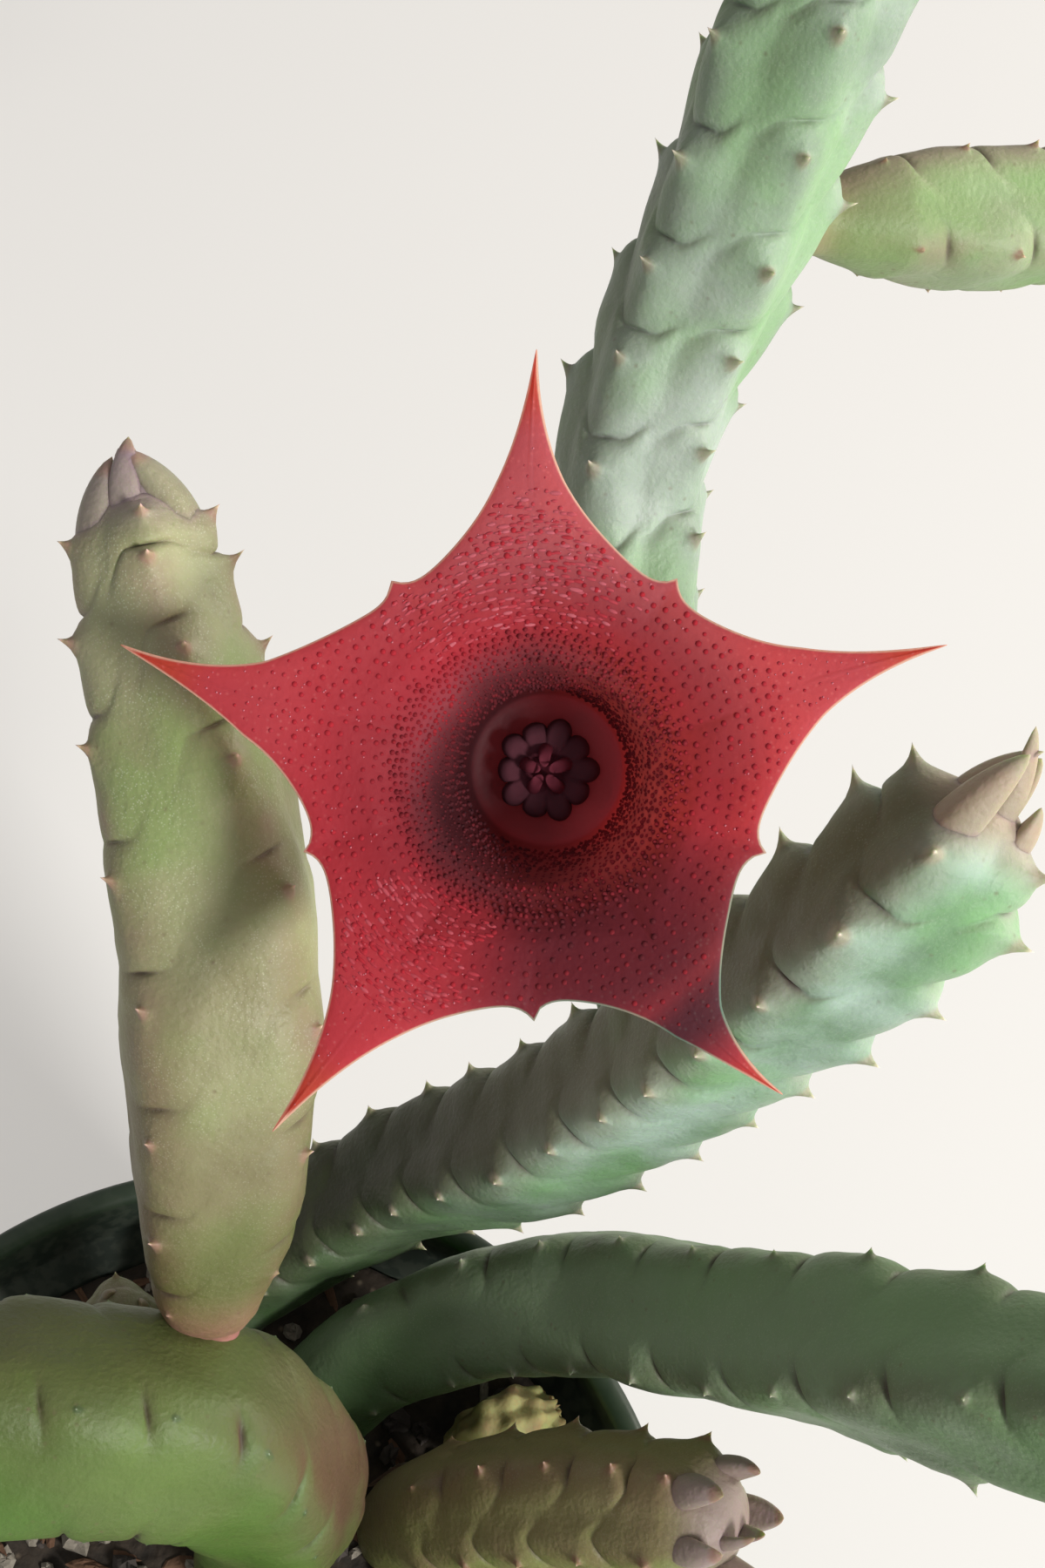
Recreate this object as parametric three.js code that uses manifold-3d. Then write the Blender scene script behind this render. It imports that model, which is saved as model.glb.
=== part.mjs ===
// A potted Huernia in flower: toothed succulent stems that branch and lean out of a small round
// nursery pot, and one red star flower. Millimetres, +Z up. The origin is the centre of the pot's
// underside, and the flower looks towards -Y and up.

import * as THREE from "three";
import { mergeVertices } from "three/addons/utils/BufferGeometryUtils.js";
import Module from "manifold-3d";

const wasm = await Module();
wasm.setup();

// Driving dimensions

const seat = 0.3; // gap between pieces that touch

const pot = {
  height: 60,
  baseRadius: 24.5,
  shoulderRadius: 32.2, // outside of the body, just under the lip
  lipRadius: 35,
  lipWidth: 2,
  lipHeight: 7.5,
  edge: 0.5, // rounding of the lip
  wall: 1.2,
  floor: 1.8,
  sides: 36,
  drainHoles: 6,
  drainRadius: 2.4,
  drainCircle: 16.5,
};

const soil = {
  top: 52, // height of its surface at the pot's wall
  crown: 1.2, // how far the middle stands higher
  grain: 0.5, // height of its lumps
  rings: 4,
  holeSides: 14, // of the plain hole round each rooted stem
};

const rootedLength = 12; // bare foot of a stem that stands in the soil

// A stem's skin is a row of tubercles along each blunt rib. Each line of the table is one ring of the
// tubercle: its place in the pitch, and its rise on the rib's line and at its two flanks.
const tubercle = {
  rings: [
    { at: 0.0, crest: -0.25, flank: -0.2 }, // the crease above the last tooth
    { at: 0.4, crest: 0.3, flank: 0.1 }, // the belly
    { at: 0.73, crest: 1.25, flank: 0.1 }, // the tooth
    { at: 0.88, crest: 0.15, flank: 0 }, // the short drop beyond it
  ],
  tooth: 2, // which of the rings is the tooth
  flankDeg: 21,
  fade: 1.2, // pitches over which the tubercles grow in at either end
};

// A crown of young tubercles stands on each tip: one on every rib, and a few in the middle.
const crown = {
  rise: 2.4, // how far each stands out
  sink: 2.2, // how deep it is rooted
  halfWidth: 1.5,
  halfLength: 1.2,
  rimPlace: 0.75, // of the tip's radius
  rimTiltDeg: 70, // from outward (0) to along the stem (90)
  rimTiltSpreadDeg: 12,
  middleCount: 3,
  middlePlace: 0.3, // of the tip's radius
  middleTiltDeg: 84,
  tipRound: 0.8, // length of the rounded tip under the crown
  tipShare: 0.75, // and how far it narrows there
};

// Each route is the centre line of a stem, root or foot first, with the stem's radius at each point.
// ribDeg tells where the first rib turns to: pairs of a distance along the stem and the degrees from
// the side that faces the viewer. teeth are the distances of that rib's teeth, and lags tell how much
// later each rib's teeth come, as a share of the pitch.
const fourLags = [0, 0.5, 0.08, 0.56];
const fiveLags = [0, 0.4, 0.8, 0.2, 0.6];

function evenly(first, pitch, end) {
  return Array.from({ length: Math.ceil((end - first) / pitch) }, (_, i) => first + i * pitch);
}

const route = {
  lowLeft: {
    ribs: 4,
    ribDeg: [[0, 22]],
    teeth: [19, 25.4, 31.8, 38, 43.4, 47.7, 52.2, 56.7, 62.5, ...evenly(68.9, 6.4, 98)],
    lags: fourLags,
    points: [
      [2, 5, 43, 3.8],
      [2, 5, 54, 4.2],
      [4.8, 4.8, 66, 5.6],
      [5.9, 4.9, 79.2, 6.3],
      [2.7, 5.2, 89.3, 6.5],
      [-4.5, 4.7, 93.9, 6.6],
      [-14, 4.5, 95.2, 6.7],
      [-25, 3.5, 93, 6.3],
      [-35, 1.5, 87, 5.4],
      [-42, 0, 81, 4.2],
    ],
  },
  left: {
    ribs: 4,
    ribDeg: [[0, -26], [28, -30], [53, -80]],
    teeth: [7.3, 13.6, 20.9, 28.3, 36.5, 44, 50, 54.8],
    lags: [0, 0.8, 0.55, 0.3],
    points: [
      [2.6, 7.6, 90.5, 2.2],
      [2.9, 11.1, 93.5, 2.3],
      [3.4, 12.3, 95.5, 3.5],
      [3.8, 14.3, 98.3, 4.6],
      [4.4, 16.9, 102.1, 5.4],
      [5, 22.4, 109.6, 6.2],
      [5, 27.8, 114.8, 6.3],
      [4.1, 33.7, 120.8, 5.7],
      [2.9, 38.8, 125.8, 4.7],
      [1.8, 42.8, 129.5, 3.9],
      [1.3, 46.3, 132.4, 3],
    ],
  },
  right: {
    ribs: 4,
    ribDeg: [[0, 20], [40, 10], [60, -2], [101, -17]],
    teeth: evenly(21.4, 6.4, 99),
    lags: [0, 0.65, 0.5, 0.5],
    points: [
      [-2, 25, 43, 3.8],
      [-2, 25, 54, 4.1],
      [3.5, 27, 61.2, 4.6],
      [14.2, 28.8, 72.6, 4.9],
      [23, 27, 83.8, 5.4],
      [31.6, 26.7, 96.5, 5.2],
      [37.8, 26, 109, 5.2],
      [43, 26.4, 118.4, 5.3],
      [46.6, 27.9, 122.9, 5],
      [49.1, 29.3, 126.3, 3.3],
    ],
  },
  low: {
    ribs: 4,
    ribDeg: [[0, 40], [45, 30], [60, 20], [90, -20]],
    teeth: evenly(20, 7.5, 90),
    lags: fourLags,
    points: [
      [6.5, 16.5, 43, 3.8],
      [6.5, 16.5, 54, 4.1],
      [11, 18.4, 60.8, 4.6],
      [19, 20.4, 65, 5.1],
      [28, 19.4, 71.5, 5.6],
      [36.3, 15.2, 79.9, 5.6],
      [43, 11.3, 88, 5.7],
      [49.2, 7, 95.8, 5.7],
      [55.7, 3.2, 101.8, 5.4],
      [61, 0.2, 106.5, 4.3],
    ],
  },
  front: {
    ribs: 5,
    ribDeg: [[0, 20]],
    teeth: evenly(20, 6, 50),
    lags: fiveLags,
    points: [
      [14.3, 7.5, 43, 3.6],
      [14.3, 7.5, 54, 4],
      [18.2, 6.5, 63, 4.6],
      [26, 4.9, 72, 4.9],
      [32.4, 2.9, 78.3, 4.6],
      [36.7, 1.2, 82.6, 3.6],
    ],
  },
  back: {
    ribs: 5,
    ribDeg: [[0, -10], [45, -27], [84, -66]],
    teeth: evenly(11.5, 7.2, 82),
    lags: fiveLags,
    points: [
      [30, 28, 94.5, 1.9],
      [30.5, 31, 95.5, 2.4],
      [31, 34.5, 96.6, 4.2],
      [31, 40, 99.5, 5],
      [30, 46, 105, 5.1],
      [29.7, 53, 111, 5.1],
      [30.1, 60, 117.3, 5.1],
      [32, 64, 122, 5.1],
      [34.2, 66.8, 126.5, 5.2],
      [36.5, 69, 132.7, 5.3],
      [38.3, 71, 138.6, 5.3],
      [40, 73, 144.2, 5.2],
      [41.5, 75.3, 150, 4.9],
      [42.5, 77.5, 155, 4],
    ],
  },
  side: {
    ribs: 4,
    ribDeg: [[0, -48]],
    teeth: evenly(7.5, 5.6, 34),
    lags: fourLags,
    points: [
      [38.5, 69.8, 130.5, 1.9],
      [42, 71.2, 129, 2.4],
      [46.5, 72.4, 127.8, 4],
      [52, 74, 126.2, 4.5],
      [58, 76, 124.7, 4.5],
      [65, 78, 123.4, 4.3],
      [71, 79.5, 122.6, 3.4],
    ],
  },
  shoot: {
    ribs: 4,
    ribDeg: [[0, 30]],
    teeth: evenly(17, 4.2, 30),
    lags: fourLags,
    points: [
      [-9, 17, 43, 2.6],
      [-9, 17, 54, 2.8],
      [-8.4, 17.3, 60, 3.3],
      [-7, 18, 69, 3.4],
      [-6, 18.3, 74, 2.8],
    ],
  },
};

const flower = {
  centre: new THREE.Vector3(23.6, 26.6, 132.9), // middle of the mouth
  pitchDeg: 34.8, // how far its face leans from straight up towards -Y
  yawDeg: -5, // and towards -X
  lobes: 5,
  webRadius: 10, // of the web before lobes and cusps are added
  lobeReach: [13.4, 14.4, 15, 12.05, 13.6], // how far each lobe is drawn out past that
  lobeTurnDeg: [0.67, 2.84, 0.56, -2.76, 1.41], // how far each lobe is turned off its even place
  lobeBendDeg: [-1.16, -2.21, -0.81, 6.6, -1.54], // and how much more towards its tip
  lobeSpreadDeg: 6.97, // how fast a lobe narrows
  lobePower: 0.54,
  bluntDeg: 0.18, // rounding of a lobe's tip
  cuspReach: 1.25, // the small point between two lobes
  cuspSpreadDeg: 3.7,
  throatRadius: 7.2,
  lipDepth: 0.6, // how far the throat's edge lies below the face
  thickness: 0.8,
  opening: 0.2, // the face opens like a dish, this much per mm
  droop: 0.017, // backward curve of the lobes, per mm squared
  droopFrom: 10.5, // distance from the axis where it starts
  rollBack: 0.2, // how far the margin between the lobes rolls back
  papilla: 0.16, // height of the relief
  columns: 12, // round one lobe
};

// The dark disc in the cup: ten lobes in five pairs, and five fingers that lean to the middle
const corona = {
  radius: 2.55,
  scallop: 0.56, // depth of the notch between two lobes
  pairing: 0.11, // how much the notches differ
  lobes: 10,
  height: 0.8,
  fingerPlace: 1.25, // distance of a finger's foot from the axis
  fingerRadius: 0.38,
  fingerLength: 1.5,
  fingerLean: 0.45, // radians
};

const stalk = {
  radius: 1.1,
  calyxRadius: 2.2,
  calyxHeight: 1.2,
  sepalLength: 4.2,
  sepalRadius: 0.75,
  sepalLean: 0.2, // radians
  springAt: 4, // the point of the back stem's route that it grows from
  towards: new THREE.Vector3(-0.25, -0.5, 0.83).normalize(),
};

const husk = {
  place: new THREE.Vector3(21.5, 13.8, 56.6),
  size: new THREE.Vector3(4.8, 2.9, 3),
  turn: new THREE.Euler(0.2, 0.1, 0.5, "ZYX"),
  fold: 0.12, // of its radius
};

// Materials

function finish(color, roughness) {
  return new THREE.MeshStandardMaterial({ color, roughness, metalness: 0 });
}

const finishes = {
  pot: finish("#1c2620", 0.45),
  soil: finish("#3a2d22", 0.95),
  olive: finish("#8f9a68", 0.5),
  green: finish("#5f7f5c", 0.5),
  dark: finish("#4a6045", 0.5),
  brown: finish("#6e6a45", 0.55),
  petal: finish("#a8323a", 0.5),
  maroon: finish("#3a0c12", 0.4),
  stalk: finish("#7d8a5a", 0.55),
  husk: finish("#c9b98a", 0.8),
};

// Solids and meshes

function solidOf(geometry) {
  const plain = geometry.clone();
  plain.deleteAttribute("normal");
  plain.deleteAttribute("uv");
  const merged = mergeVertices(plain, 1e-4);
  return new wasm.Manifold(
    new wasm.Mesh({
      numProp: 3,
      vertProperties: merged.attributes.position.array,
      triVerts: new Uint32Array(merged.index.array),
    }),
  );
}

function geometryOf(solid) {
  const mesh = solid.getMesh();
  const geometry = new THREE.BufferGeometry();
  geometry.setAttribute("position", new THREE.BufferAttribute(mesh.vertProperties, 3));
  geometry.setIndex(new THREE.BufferAttribute(mesh.triVerts, 1));
  geometry.computeVertexNormals();
  return geometry;
}

// Fills what fusing has sealed in and drops loose scraps: only the largest outer skin is kept.
function wholeOf(solid) {
  const skins = solid.decompose();
  return skins.reduce((best, next) => (next.volume() > best.volume() ? next : best));
}

function pieceOf(name, geometry, material) {
  const mesh = new THREE.Mesh(geometry, material);
  mesh.name = name;
  return mesh;
}

// A turned shape about Z: three.js turns profiles about Y.
function turned(profile, sides) {
  const points = profile.map(([radius, height]) => new THREE.Vector2(radius, height));
  return new THREE.LatheGeometry(points, sides).rotateX(Math.PI / 2);
}

function uprightCylinder(radius, low, high, x, y, sides) {
  const geometry = new THREE.CylinderGeometry(radius, radius, high - low, sides);
  return geometry.rotateX(Math.PI / 2).translate(x, y, (low + high) / 2);
}

// Even noise between -1 and 1 that is the same on every run.
function hash(a, b) {
  const wave = Math.sin(a * 127.1 + b * 311.7) * 43758.5453;
  return 2 * (wave - Math.floor(wave)) - 1;
}

// Pot

function wallRadius(height) {
  const rise = height / (pot.height - pot.lipHeight);
  return pot.baseRadius + (pot.shoulderRadius - pot.baseRadius) * rise;
}

function potGeometry() {
  const shoulder = pot.height - pot.lipHeight;
  const inside = pot.lipRadius - pot.lipWidth;
  const profile = [
    [0, 0],
    [pot.baseRadius - 2 * pot.edge, 0],
    [pot.baseRadius, 2 * pot.edge],
    [pot.shoulderRadius, shoulder],
    [pot.lipRadius - pot.edge, shoulder],
    [pot.lipRadius, shoulder + pot.edge],
    [pot.lipRadius, pot.height - pot.edge],
    [pot.lipRadius - pot.edge, pot.height],
    [inside + pot.edge, pot.height],
    [inside, pot.height - pot.edge],
    [inside, shoulder + pot.wall],
    [pot.shoulderRadius - pot.wall, shoulder],
    [wallRadius(pot.floor) - pot.wall, pot.floor],
    [0, pot.floor],
  ];
  let shell = solidOf(turned(profile, pot.sides));
  for (let i = 0; i < pot.drainHoles; i += 1) {
    const angle = ((i + 0.5) / pot.drainHoles) * 2 * Math.PI;
    const x = pot.drainCircle * Math.cos(angle);
    const y = pot.drainCircle * Math.sin(angle);
    shell = shell.subtract(solidOf(uprightCylinder(pot.drainRadius, -1, pot.floor + 1, x, y, 12)));
  }
  return geometryOf(shell);
}

// Soil: a filling with a lumpy top and one plain hole for each rooted stem

function soilGeometry(roots) {
  const bottom = pot.floor + seat;
  const bottomRadius = wallRadius(bottom) - pot.wall - seat;
  const topRadius = wallRadius(soil.top) - pot.wall - seat;
  const profile = [
    [0, bottom],
    [bottomRadius, bottom],
    [topRadius, soil.top],
  ];
  for (let i = soil.rings; i >= 0; i -= 1) {
    const share = (i / (soil.rings + 1)) ** 0.8;
    profile.push([topRadius * share, soil.top + soil.crown * (1 - share * share)]);
  }
  const filling = turned(profile, pot.sides);
  const place = filling.attributes.position;
  for (let i = 0; i < place.count; i += 1) {
    const radius = Math.hypot(place.getX(i), place.getY(i));
    if (place.getZ(i) > soil.top && radius > 1) {
      const lump = hash(Math.round(place.getX(i) * 10), Math.round(place.getY(i) * 10));
      place.setZ(i, place.getZ(i) + soil.grain * lump);
    }
  }
  let solid = solidOf(filling);
  for (const stem of roots) {
    const [[x, y, depth], [, , , shank]] = stem.points;
    const radius = (shank + 2 * seat) / Math.cos(Math.PI / soil.holeSides);
    const hole = uprightCylinder(radius, depth - seat, pot.height, x, y, soil.holeSides);
    solid = solid.subtract(solidOf(hole));
  }
  return geometryOf(solid);
}

// Stems

const towardsViewer = new THREE.Vector3(0, -0.53, 0.85).normalize();

// The centre line of a route, with the stem's radius and an even frame at any distance along it.
function spineOf({ points }) {
  const curve = new THREE.CatmullRomCurve3(points.map(([x, y, z]) => new THREE.Vector3(x, y, z)));
  curve.arcLengthDivisions = 400;
  const length = curve.getLength();
  return {
    length,
    radiusAt(distance) {
      const t = curve.getUtoTmapping(distance / length) * (points.length - 1);
      const i = Math.min(Math.floor(t), points.length - 2);
      return THREE.MathUtils.lerp(points[i][3], points[i + 1][3], t - i);
    },
    // Y runs along the stem, and Z is the side that faces the viewer.
    frameAt(distance) {
      const share = THREE.MathUtils.clamp(distance / length, 0, 1);
      const along = curve.getTangentAt(share);
      const facing = towardsViewer.clone().addScaledVector(along, -towardsViewer.dot(along));
      facing.normalize();
      const aside = new THREE.Vector3().crossVectors(along, facing);
      return new THREE.Matrix4().makeBasis(aside, along, facing).setPosition(curve.getPointAt(share));
    },
  };
}

// The value at a place, from a table of places and values.
function valueAt(table, place) {
  const next = table.findIndex(([at]) => at >= place);
  if (next === 0) return table[0][1];
  if (next < 0) return table[table.length - 1][1];
  const [[before, low], [after, high]] = table.slice(next - 1, next + 1);
  return THREE.MathUtils.mapLinear(place, before, after, low, high);
}

function ribAngle(stem, rib, distance) {
  return THREE.MathUtils.degToRad(valueAt(stem.ribDeg, distance) + (rib * 360) / stem.ribs);
}

// Distance along the stem for a number of tubercles, counted along the first rib from its first crease.
function tubercleTable({ teeth }, spine, bare) {
  const { at } = tubercle.rings[tubercle.tooth];
  const first = Math.max(bare, teeth[0] - at * (teeth[1] - teeth[0]));
  const toTeeth = teeth.map((distance, i) => [i + at, distance]);
  return [[0, first], ...toTeeth, [teeth.length, spine.length - crown.tipRound]];
}

// The rings of a stem: how many tubercles along each stands, its relief and how far that has grown in.
function ringsOf({ teeth }) {
  const rings = [{ step: 0, relief: tubercle.rings[0], share: 0 }];
  for (let i = 0; i < teeth.length; i += 1) {
    for (const relief of tubercle.rings) {
      const step = i + relief.at;
      const share = Math.min(step / tubercle.fade, (teeth.length - step) / tubercle.fade, 1);
      if (step > 0) rings.push({ step, relief, share });
    }
  }
  rings.push({ step: teeth.length, relief: tubercle.rings[0], share: 0 });
  return rings;
}

// A stem is turned on the lathe, and each point of its skin is then set by the tubercles' rule and
// bent along its spine. Each rib has three columns of points: its line and two flanks. The first and
// last rows of the lathe are the two ends on the axis.
function stemBody(stem, spine, bare) {
  const table = tubercleTable(stem, spine, bare);
  const rings = ringsOf(stem);
  const foot = [new THREE.Vector2(0, 0), new THREE.Vector2(1, 0)];
  if (bare > 0) foot.push(new THREE.Vector2(1, bare));
  const ringPoints = rings.map(({ step }) => new THREE.Vector2(1, valueAt(table, step)));
  const profile = [...foot, ...ringPoints, new THREE.Vector2(0, spine.length)];
  const body = new THREE.LatheGeometry(profile, 3 * stem.ribs);
  const place = body.attributes.position;
  const point = new THREE.Vector3();
  for (let i = 0; i < place.count; i += 1) {
    const column = Math.floor(i / profile.length) % (3 * stem.ribs);
    const row = i % profile.length;
    const rib = Math.floor(column / 3);
    const flank = (column % 3) - 1;
    const ring = rings[row - foot.length];
    let at = profile[row].y;
    let rise = 0;
    if (ring) {
      at = valueAt(table, ring.step + stem.lags[rib] * ring.share);
      rise = ring.share * (flank === 0 ? ring.relief.crest : ring.relief.flank);
    }
    const blunt = row === profile.length - 2 ? crown.tipShare : 1;
    const radius = profile[row].x * (blunt * spine.radiusAt(at) + rise);
    const angle = ribAngle(stem, rib, at) + flank * THREE.MathUtils.degToRad(tubercle.flankDeg);
    point.set(radius * Math.sin(angle), 0, radius * Math.cos(angle)).applyMatrix4(spine.frameAt(at));
    place.setXYZ(i, point.x, point.y, point.z);
  }
  return solidOf(body);
}

// A three-sided young tubercle on the tip
function crownPoint(spine, angle, distance, tiltDeg) {
  const shape = new THREE.ConeGeometry(1, 1, 3).translate(0, 0.5, 0);
  shape.scale(crown.halfWidth, crown.rise + crown.sink, crown.halfLength);
  shape.rotateX(THREE.MathUtils.degToRad(90 - tiltDeg));
  shape.translate(0, 0, distance - crown.sink).rotateY(angle);
  return solidOf(shape.applyMatrix4(spine.frameAt(spine.length - crown.tipRound)));
}

function leafyStem(stem, bare) {
  const spine = spineOf(stem);
  let solid = stemBody(stem, spine, bare);
  const edge = spine.radiusAt(spine.length);
  for (let rib = 0; rib < stem.ribs; rib += 1) {
    const angle = ribAngle(stem, rib, spine.length);
    const tilt = crown.rimTiltDeg + crown.rimTiltSpreadDeg * stem.lags[rib];
    solid = solid.add(crownPoint(spine, angle, edge * crown.rimPlace, tilt));
  }
  const middle = edge * crown.middlePlace + crown.sink / 2;
  for (let i = 0; i < crown.middleCount; i += 1) {
    const angle = ((i + 0.25) / crown.middleCount) * 2 * Math.PI;
    solid = solid.add(crownPoint(spine, angle, middle, crown.middleTiltDeg));
  }
  return wholeOf(solid);
}

// The upright left stem grows from the bend of the one that runs left.
function stemLeft() {
  return wholeOf(leafyStem(route.lowLeft, rootedLength).add(leafyStem(route.left, 0)));
}

// The back stem, with its side branch, grows from the middle of the right stem.
function stemRight() {
  const back = leafyStem(route.back, 0).add(leafyStem(route.side, 0));
  return wholeOf(leafyStem(route.right, rootedLength).add(back));
}

// Flower

// Distance from the axis to the margin, at an angle from the lobe's middle line.
function marginRadius(lobe, angleDeg) {
  const blunted = Math.hypot(angleDeg, flower.bluntDeg);
  const narrowing = Math.exp(-((blunted / flower.lobeSpreadDeg) ** flower.lobePower));
  const toWeb = 180 / flower.lobes - angleDeg;
  const cusp = flower.cuspReach * Math.exp(-toWeb / flower.cuspSpreadDeg);
  return flower.webRadius + flower.lobeReach[lobe] * narrowing + cusp;
}

// How far a lobe's middle line is off its even place, at a distance from the axis.
function lobeShiftDeg(lobe, radius) {
  const past = Math.max(radius - 12, 0);
  const turn = flower.lobeTurnDeg[lobe] * Math.min(past / 3, 1);
  return turn + flower.lobeBendDeg[lobe] * (past / 10) ** 1.5;
}

// Rows of the flower's two faces from the axis to the margin: radius, height, and how far the row has
// opened from the round throat (0) to the star-shaped margin (1).
const outerRows = [
  [0, -9.9, 0],
  [3.9, -9.9, 0],
  [5.2, -8.2, 0],
  [6.1, -4.2, 0],
  [7.4, -1.5, 0],
  [0, 0, 0.35],
  [0, 0, 0.7],
  [0, 0, 1],
];
const innerRows = [
  [0, -9, 0],
  [3.7, -9, 0],
  [4.4, -7.8, 0],
  [5.1, -4.5, 0],
  [6.0, -1.9, 0],
  [flower.throatRadius, -flower.lipDepth, 0],
  [0, 0, 0.13],
  [0, 0, 0.26],
  [0, 0, 0.4],
  [0, 0, 0.54],
  [0, 0, 0.68],
  [0, 0, 0.84],
  [0, 0, 1],
];

function petalPoint(column, [radius, height, opened], under) {
  const half = flower.columns / 2;
  const lobe = Math.round(column / flower.columns);
  const step = column - lobe * flower.columns;
  const widest = 180 / flower.lobes;
  const even = Math.abs(step / half);
  const atMargin = widest * even * even;
  const turn = THREE.MathUtils.lerp(widest * even, atMargin, opened);
  const angleDeg = 90 + (lobe * 360) / flower.lobes + Math.sign(step) * turn;
  const angle = THREE.MathUtils.degToRad(angleDeg);
  if (opened === 0) {
    return [radius * Math.cos(angle), radius * Math.sin(angle), height];
  }
  const which = lobe % flower.lobes;
  const reach = THREE.MathUtils.lerp(flower.throatRadius, marginRadius(which, atMargin), opened);
  const shifted = THREE.MathUtils.degToRad(angleDeg + lobeShiftDeg(which, reach));
  const drop = flower.droop * Math.max(reach - flower.droopFrom, 0) ** 2;
  const rise = flower.opening * (reach - flower.throatRadius);
  const roll = flower.rollBack * opened * even * even;
  const lip = flower.lipDepth * Math.max(0, 1 - opened / 0.3);
  const thickness = under ? flower.thickness : 0;
  return [reach * Math.cos(shifted), reach * Math.sin(shifted), rise - drop - roll - lip - thickness];
}

// The flower is turned on the lathe as a bowl, and each row is then drawn out into the star.
function petalGeometry() {
  const rows = [...outerRows, ...[...innerRows].reverse()];
  const columns = flower.columns * flower.lobes;
  const bowl = turned(
    rows.map(([radius, height, opened]) => [radius + opened, height]),
    columns,
  );
  const place = bowl.attributes.position;
  for (let i = 0; i < place.count; i += 1) {
    const column = Math.floor(i / rows.length) % columns;
    const row = i % rows.length;
    const under = row < outerRows.length;
    const [x, y, z] = petalPoint(column, rows[row], under);
    const inner = rows.length - 1 - row;
    const raised = !under && inner > 3 && inner < innerRows.length - 1 && (inner + column) % 2 === 0;
    place.setXYZ(i, x, y, raised ? z + flower.papilla : z);
  }
  return geometryOf(solidOf(bowl));
}

function coronaGeometry() {
  const outline = [];
  const steps = 6 * corona.lobes;
  for (let i = 0; i < steps; i += 1) {
    const angle = (i / steps) * 2 * Math.PI;
    const wave = Math.cos((angle * corona.lobes) / 2);
    const bulge = corona.scallop * (Math.abs(wave) ** 0.6 - 0.5);
    const radius = corona.radius + bulge + corona.pairing * wave;
    outline.push(new THREE.Vector2(radius * Math.cos(angle), radius * Math.sin(angle)));
  }
  const disc = new THREE.ExtrudeGeometry(new THREE.Shape(outline), {
    depth: corona.height,
    bevelEnabled: false,
  });
  let solid = solidOf(disc);
  for (let i = 0; i < flower.lobes; i += 1) {
    const finger = new THREE.ConeGeometry(corona.fingerRadius, corona.fingerLength, 6);
    finger.translate(0, corona.fingerLength / 2, 0).rotateX(Math.PI / 2).rotateY(-corona.fingerLean);
    finger.translate(corona.fingerPlace, 0, corona.height - 0.3);
    finger.rotateZ(((i + 0.25) / flower.lobes) * 2 * Math.PI);
    solid = solid.add(solidOf(finger));
  }
  return geometryOf(solid);
}

// The stalk and the five sepals under the cup, in the flower's own frame
function stalkGeometry(foot) {
  const calyxTop = outerRows[0][1] - seat;
  const straight = calyxTop - 5; // it leaves the cup along the flower's axis down to here
  const path = new THREE.CatmullRomCurve3([
    new THREE.Vector3(0, 0, calyxTop - stalk.calyxHeight / 3),
    new THREE.Vector3(0, 0.2, straight + 1),
    new THREE.Vector3(0, 0, straight).lerp(foot, 0.5),
    foot,
  ]);
  const section = new THREE.Shape().absarc(0, 0, stalk.radius, 0, 2 * Math.PI);
  const rod = new THREE.ExtrudeGeometry(section, { steps: 9, curveSegments: 4, extrudePath: path });
  const calyx = new THREE.CylinderGeometry(stalk.calyxRadius, stalk.radius, stalk.calyxHeight, 10);
  calyx.rotateX(Math.PI / 2).translate(0, 0, calyxTop - stalk.calyxHeight / 2);
  let solid = solidOf(rod).add(solidOf(calyx));
  for (let i = 0; i < flower.lobes; i += 1) {
    const sepal = new THREE.ConeGeometry(stalk.sepalRadius, stalk.sepalLength, 5);
    sepal.scale(1, 1, 0.55).translate(0, stalk.sepalLength / 2, 0).rotateX(stalk.sepalLean);
    sepal.translate(0, stalk.calyxRadius / 2, calyxTop - stalk.sepalRadius);
    sepal.rotateZ(((i + 0.5) / flower.lobes) * 2 * Math.PI);
    solid = solid.add(solidOf(sepal));
  }
  return geometryOf(solid);
}

// Husk: a dried, crumpled scrap of an old flower

function huskGeometry() {
  const scrap = new THREE.SphereGeometry(1, 10, 7);
  const place = scrap.attributes.position;
  for (let i = 0; i < place.count; i += 1) {
    const x = place.getX(i);
    const y = place.getY(i);
    const z = place.getZ(i);
    const fold = 1 + husk.fold * Math.sin(5 * x + 3 * y) * Math.cos(4 * z - 2 * x);
    place.setXYZ(i, x * fold, y * fold, z * fold);
  }
  return scrap.scale(husk.size.x, husk.size.y, husk.size.z);
}

// The plant in its pot

const plant = new THREE.Group();

plant.add(pieceOf("pot", potGeometry(), finishes.pot));

const rootedRoutes = [route.lowLeft, route.right, route.low, route.front, route.shoot];
plant.add(pieceOf("soil", soilGeometry(rootedRoutes), finishes.soil));

plant.add(pieceOf("stem_left", geometryOf(stemLeft()), finishes.olive));
plant.add(pieceOf("stem_right", geometryOf(stemRight()), finishes.green));
plant.add(pieceOf("stem_low", geometryOf(leafyStem(route.low, rootedLength)), finishes.dark));
plant.add(pieceOf("stem_front", geometryOf(leafyStem(route.front, rootedLength)), finishes.brown));
plant.add(pieceOf("shoot_small", geometryOf(leafyStem(route.shoot, rootedLength)), finishes.olive));

const bloom = new THREE.Group();
bloom.position.copy(flower.centre);
bloom.rotation.set(
  THREE.MathUtils.degToRad(flower.pitchDeg),
  THREE.MathUtils.degToRad(flower.yawDeg),
  0,
);
bloom.updateMatrixWorld(true);
plant.add(bloom);

bloom.add(pieceOf("flower_petals", petalGeometry(), finishes.petal));

const coronaPiece = pieceOf("flower_corona", coronaGeometry(), finishes.maroon);
coronaPiece.position.z = innerRows[0][1] + seat;
bloom.add(coronaPiece);

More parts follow.
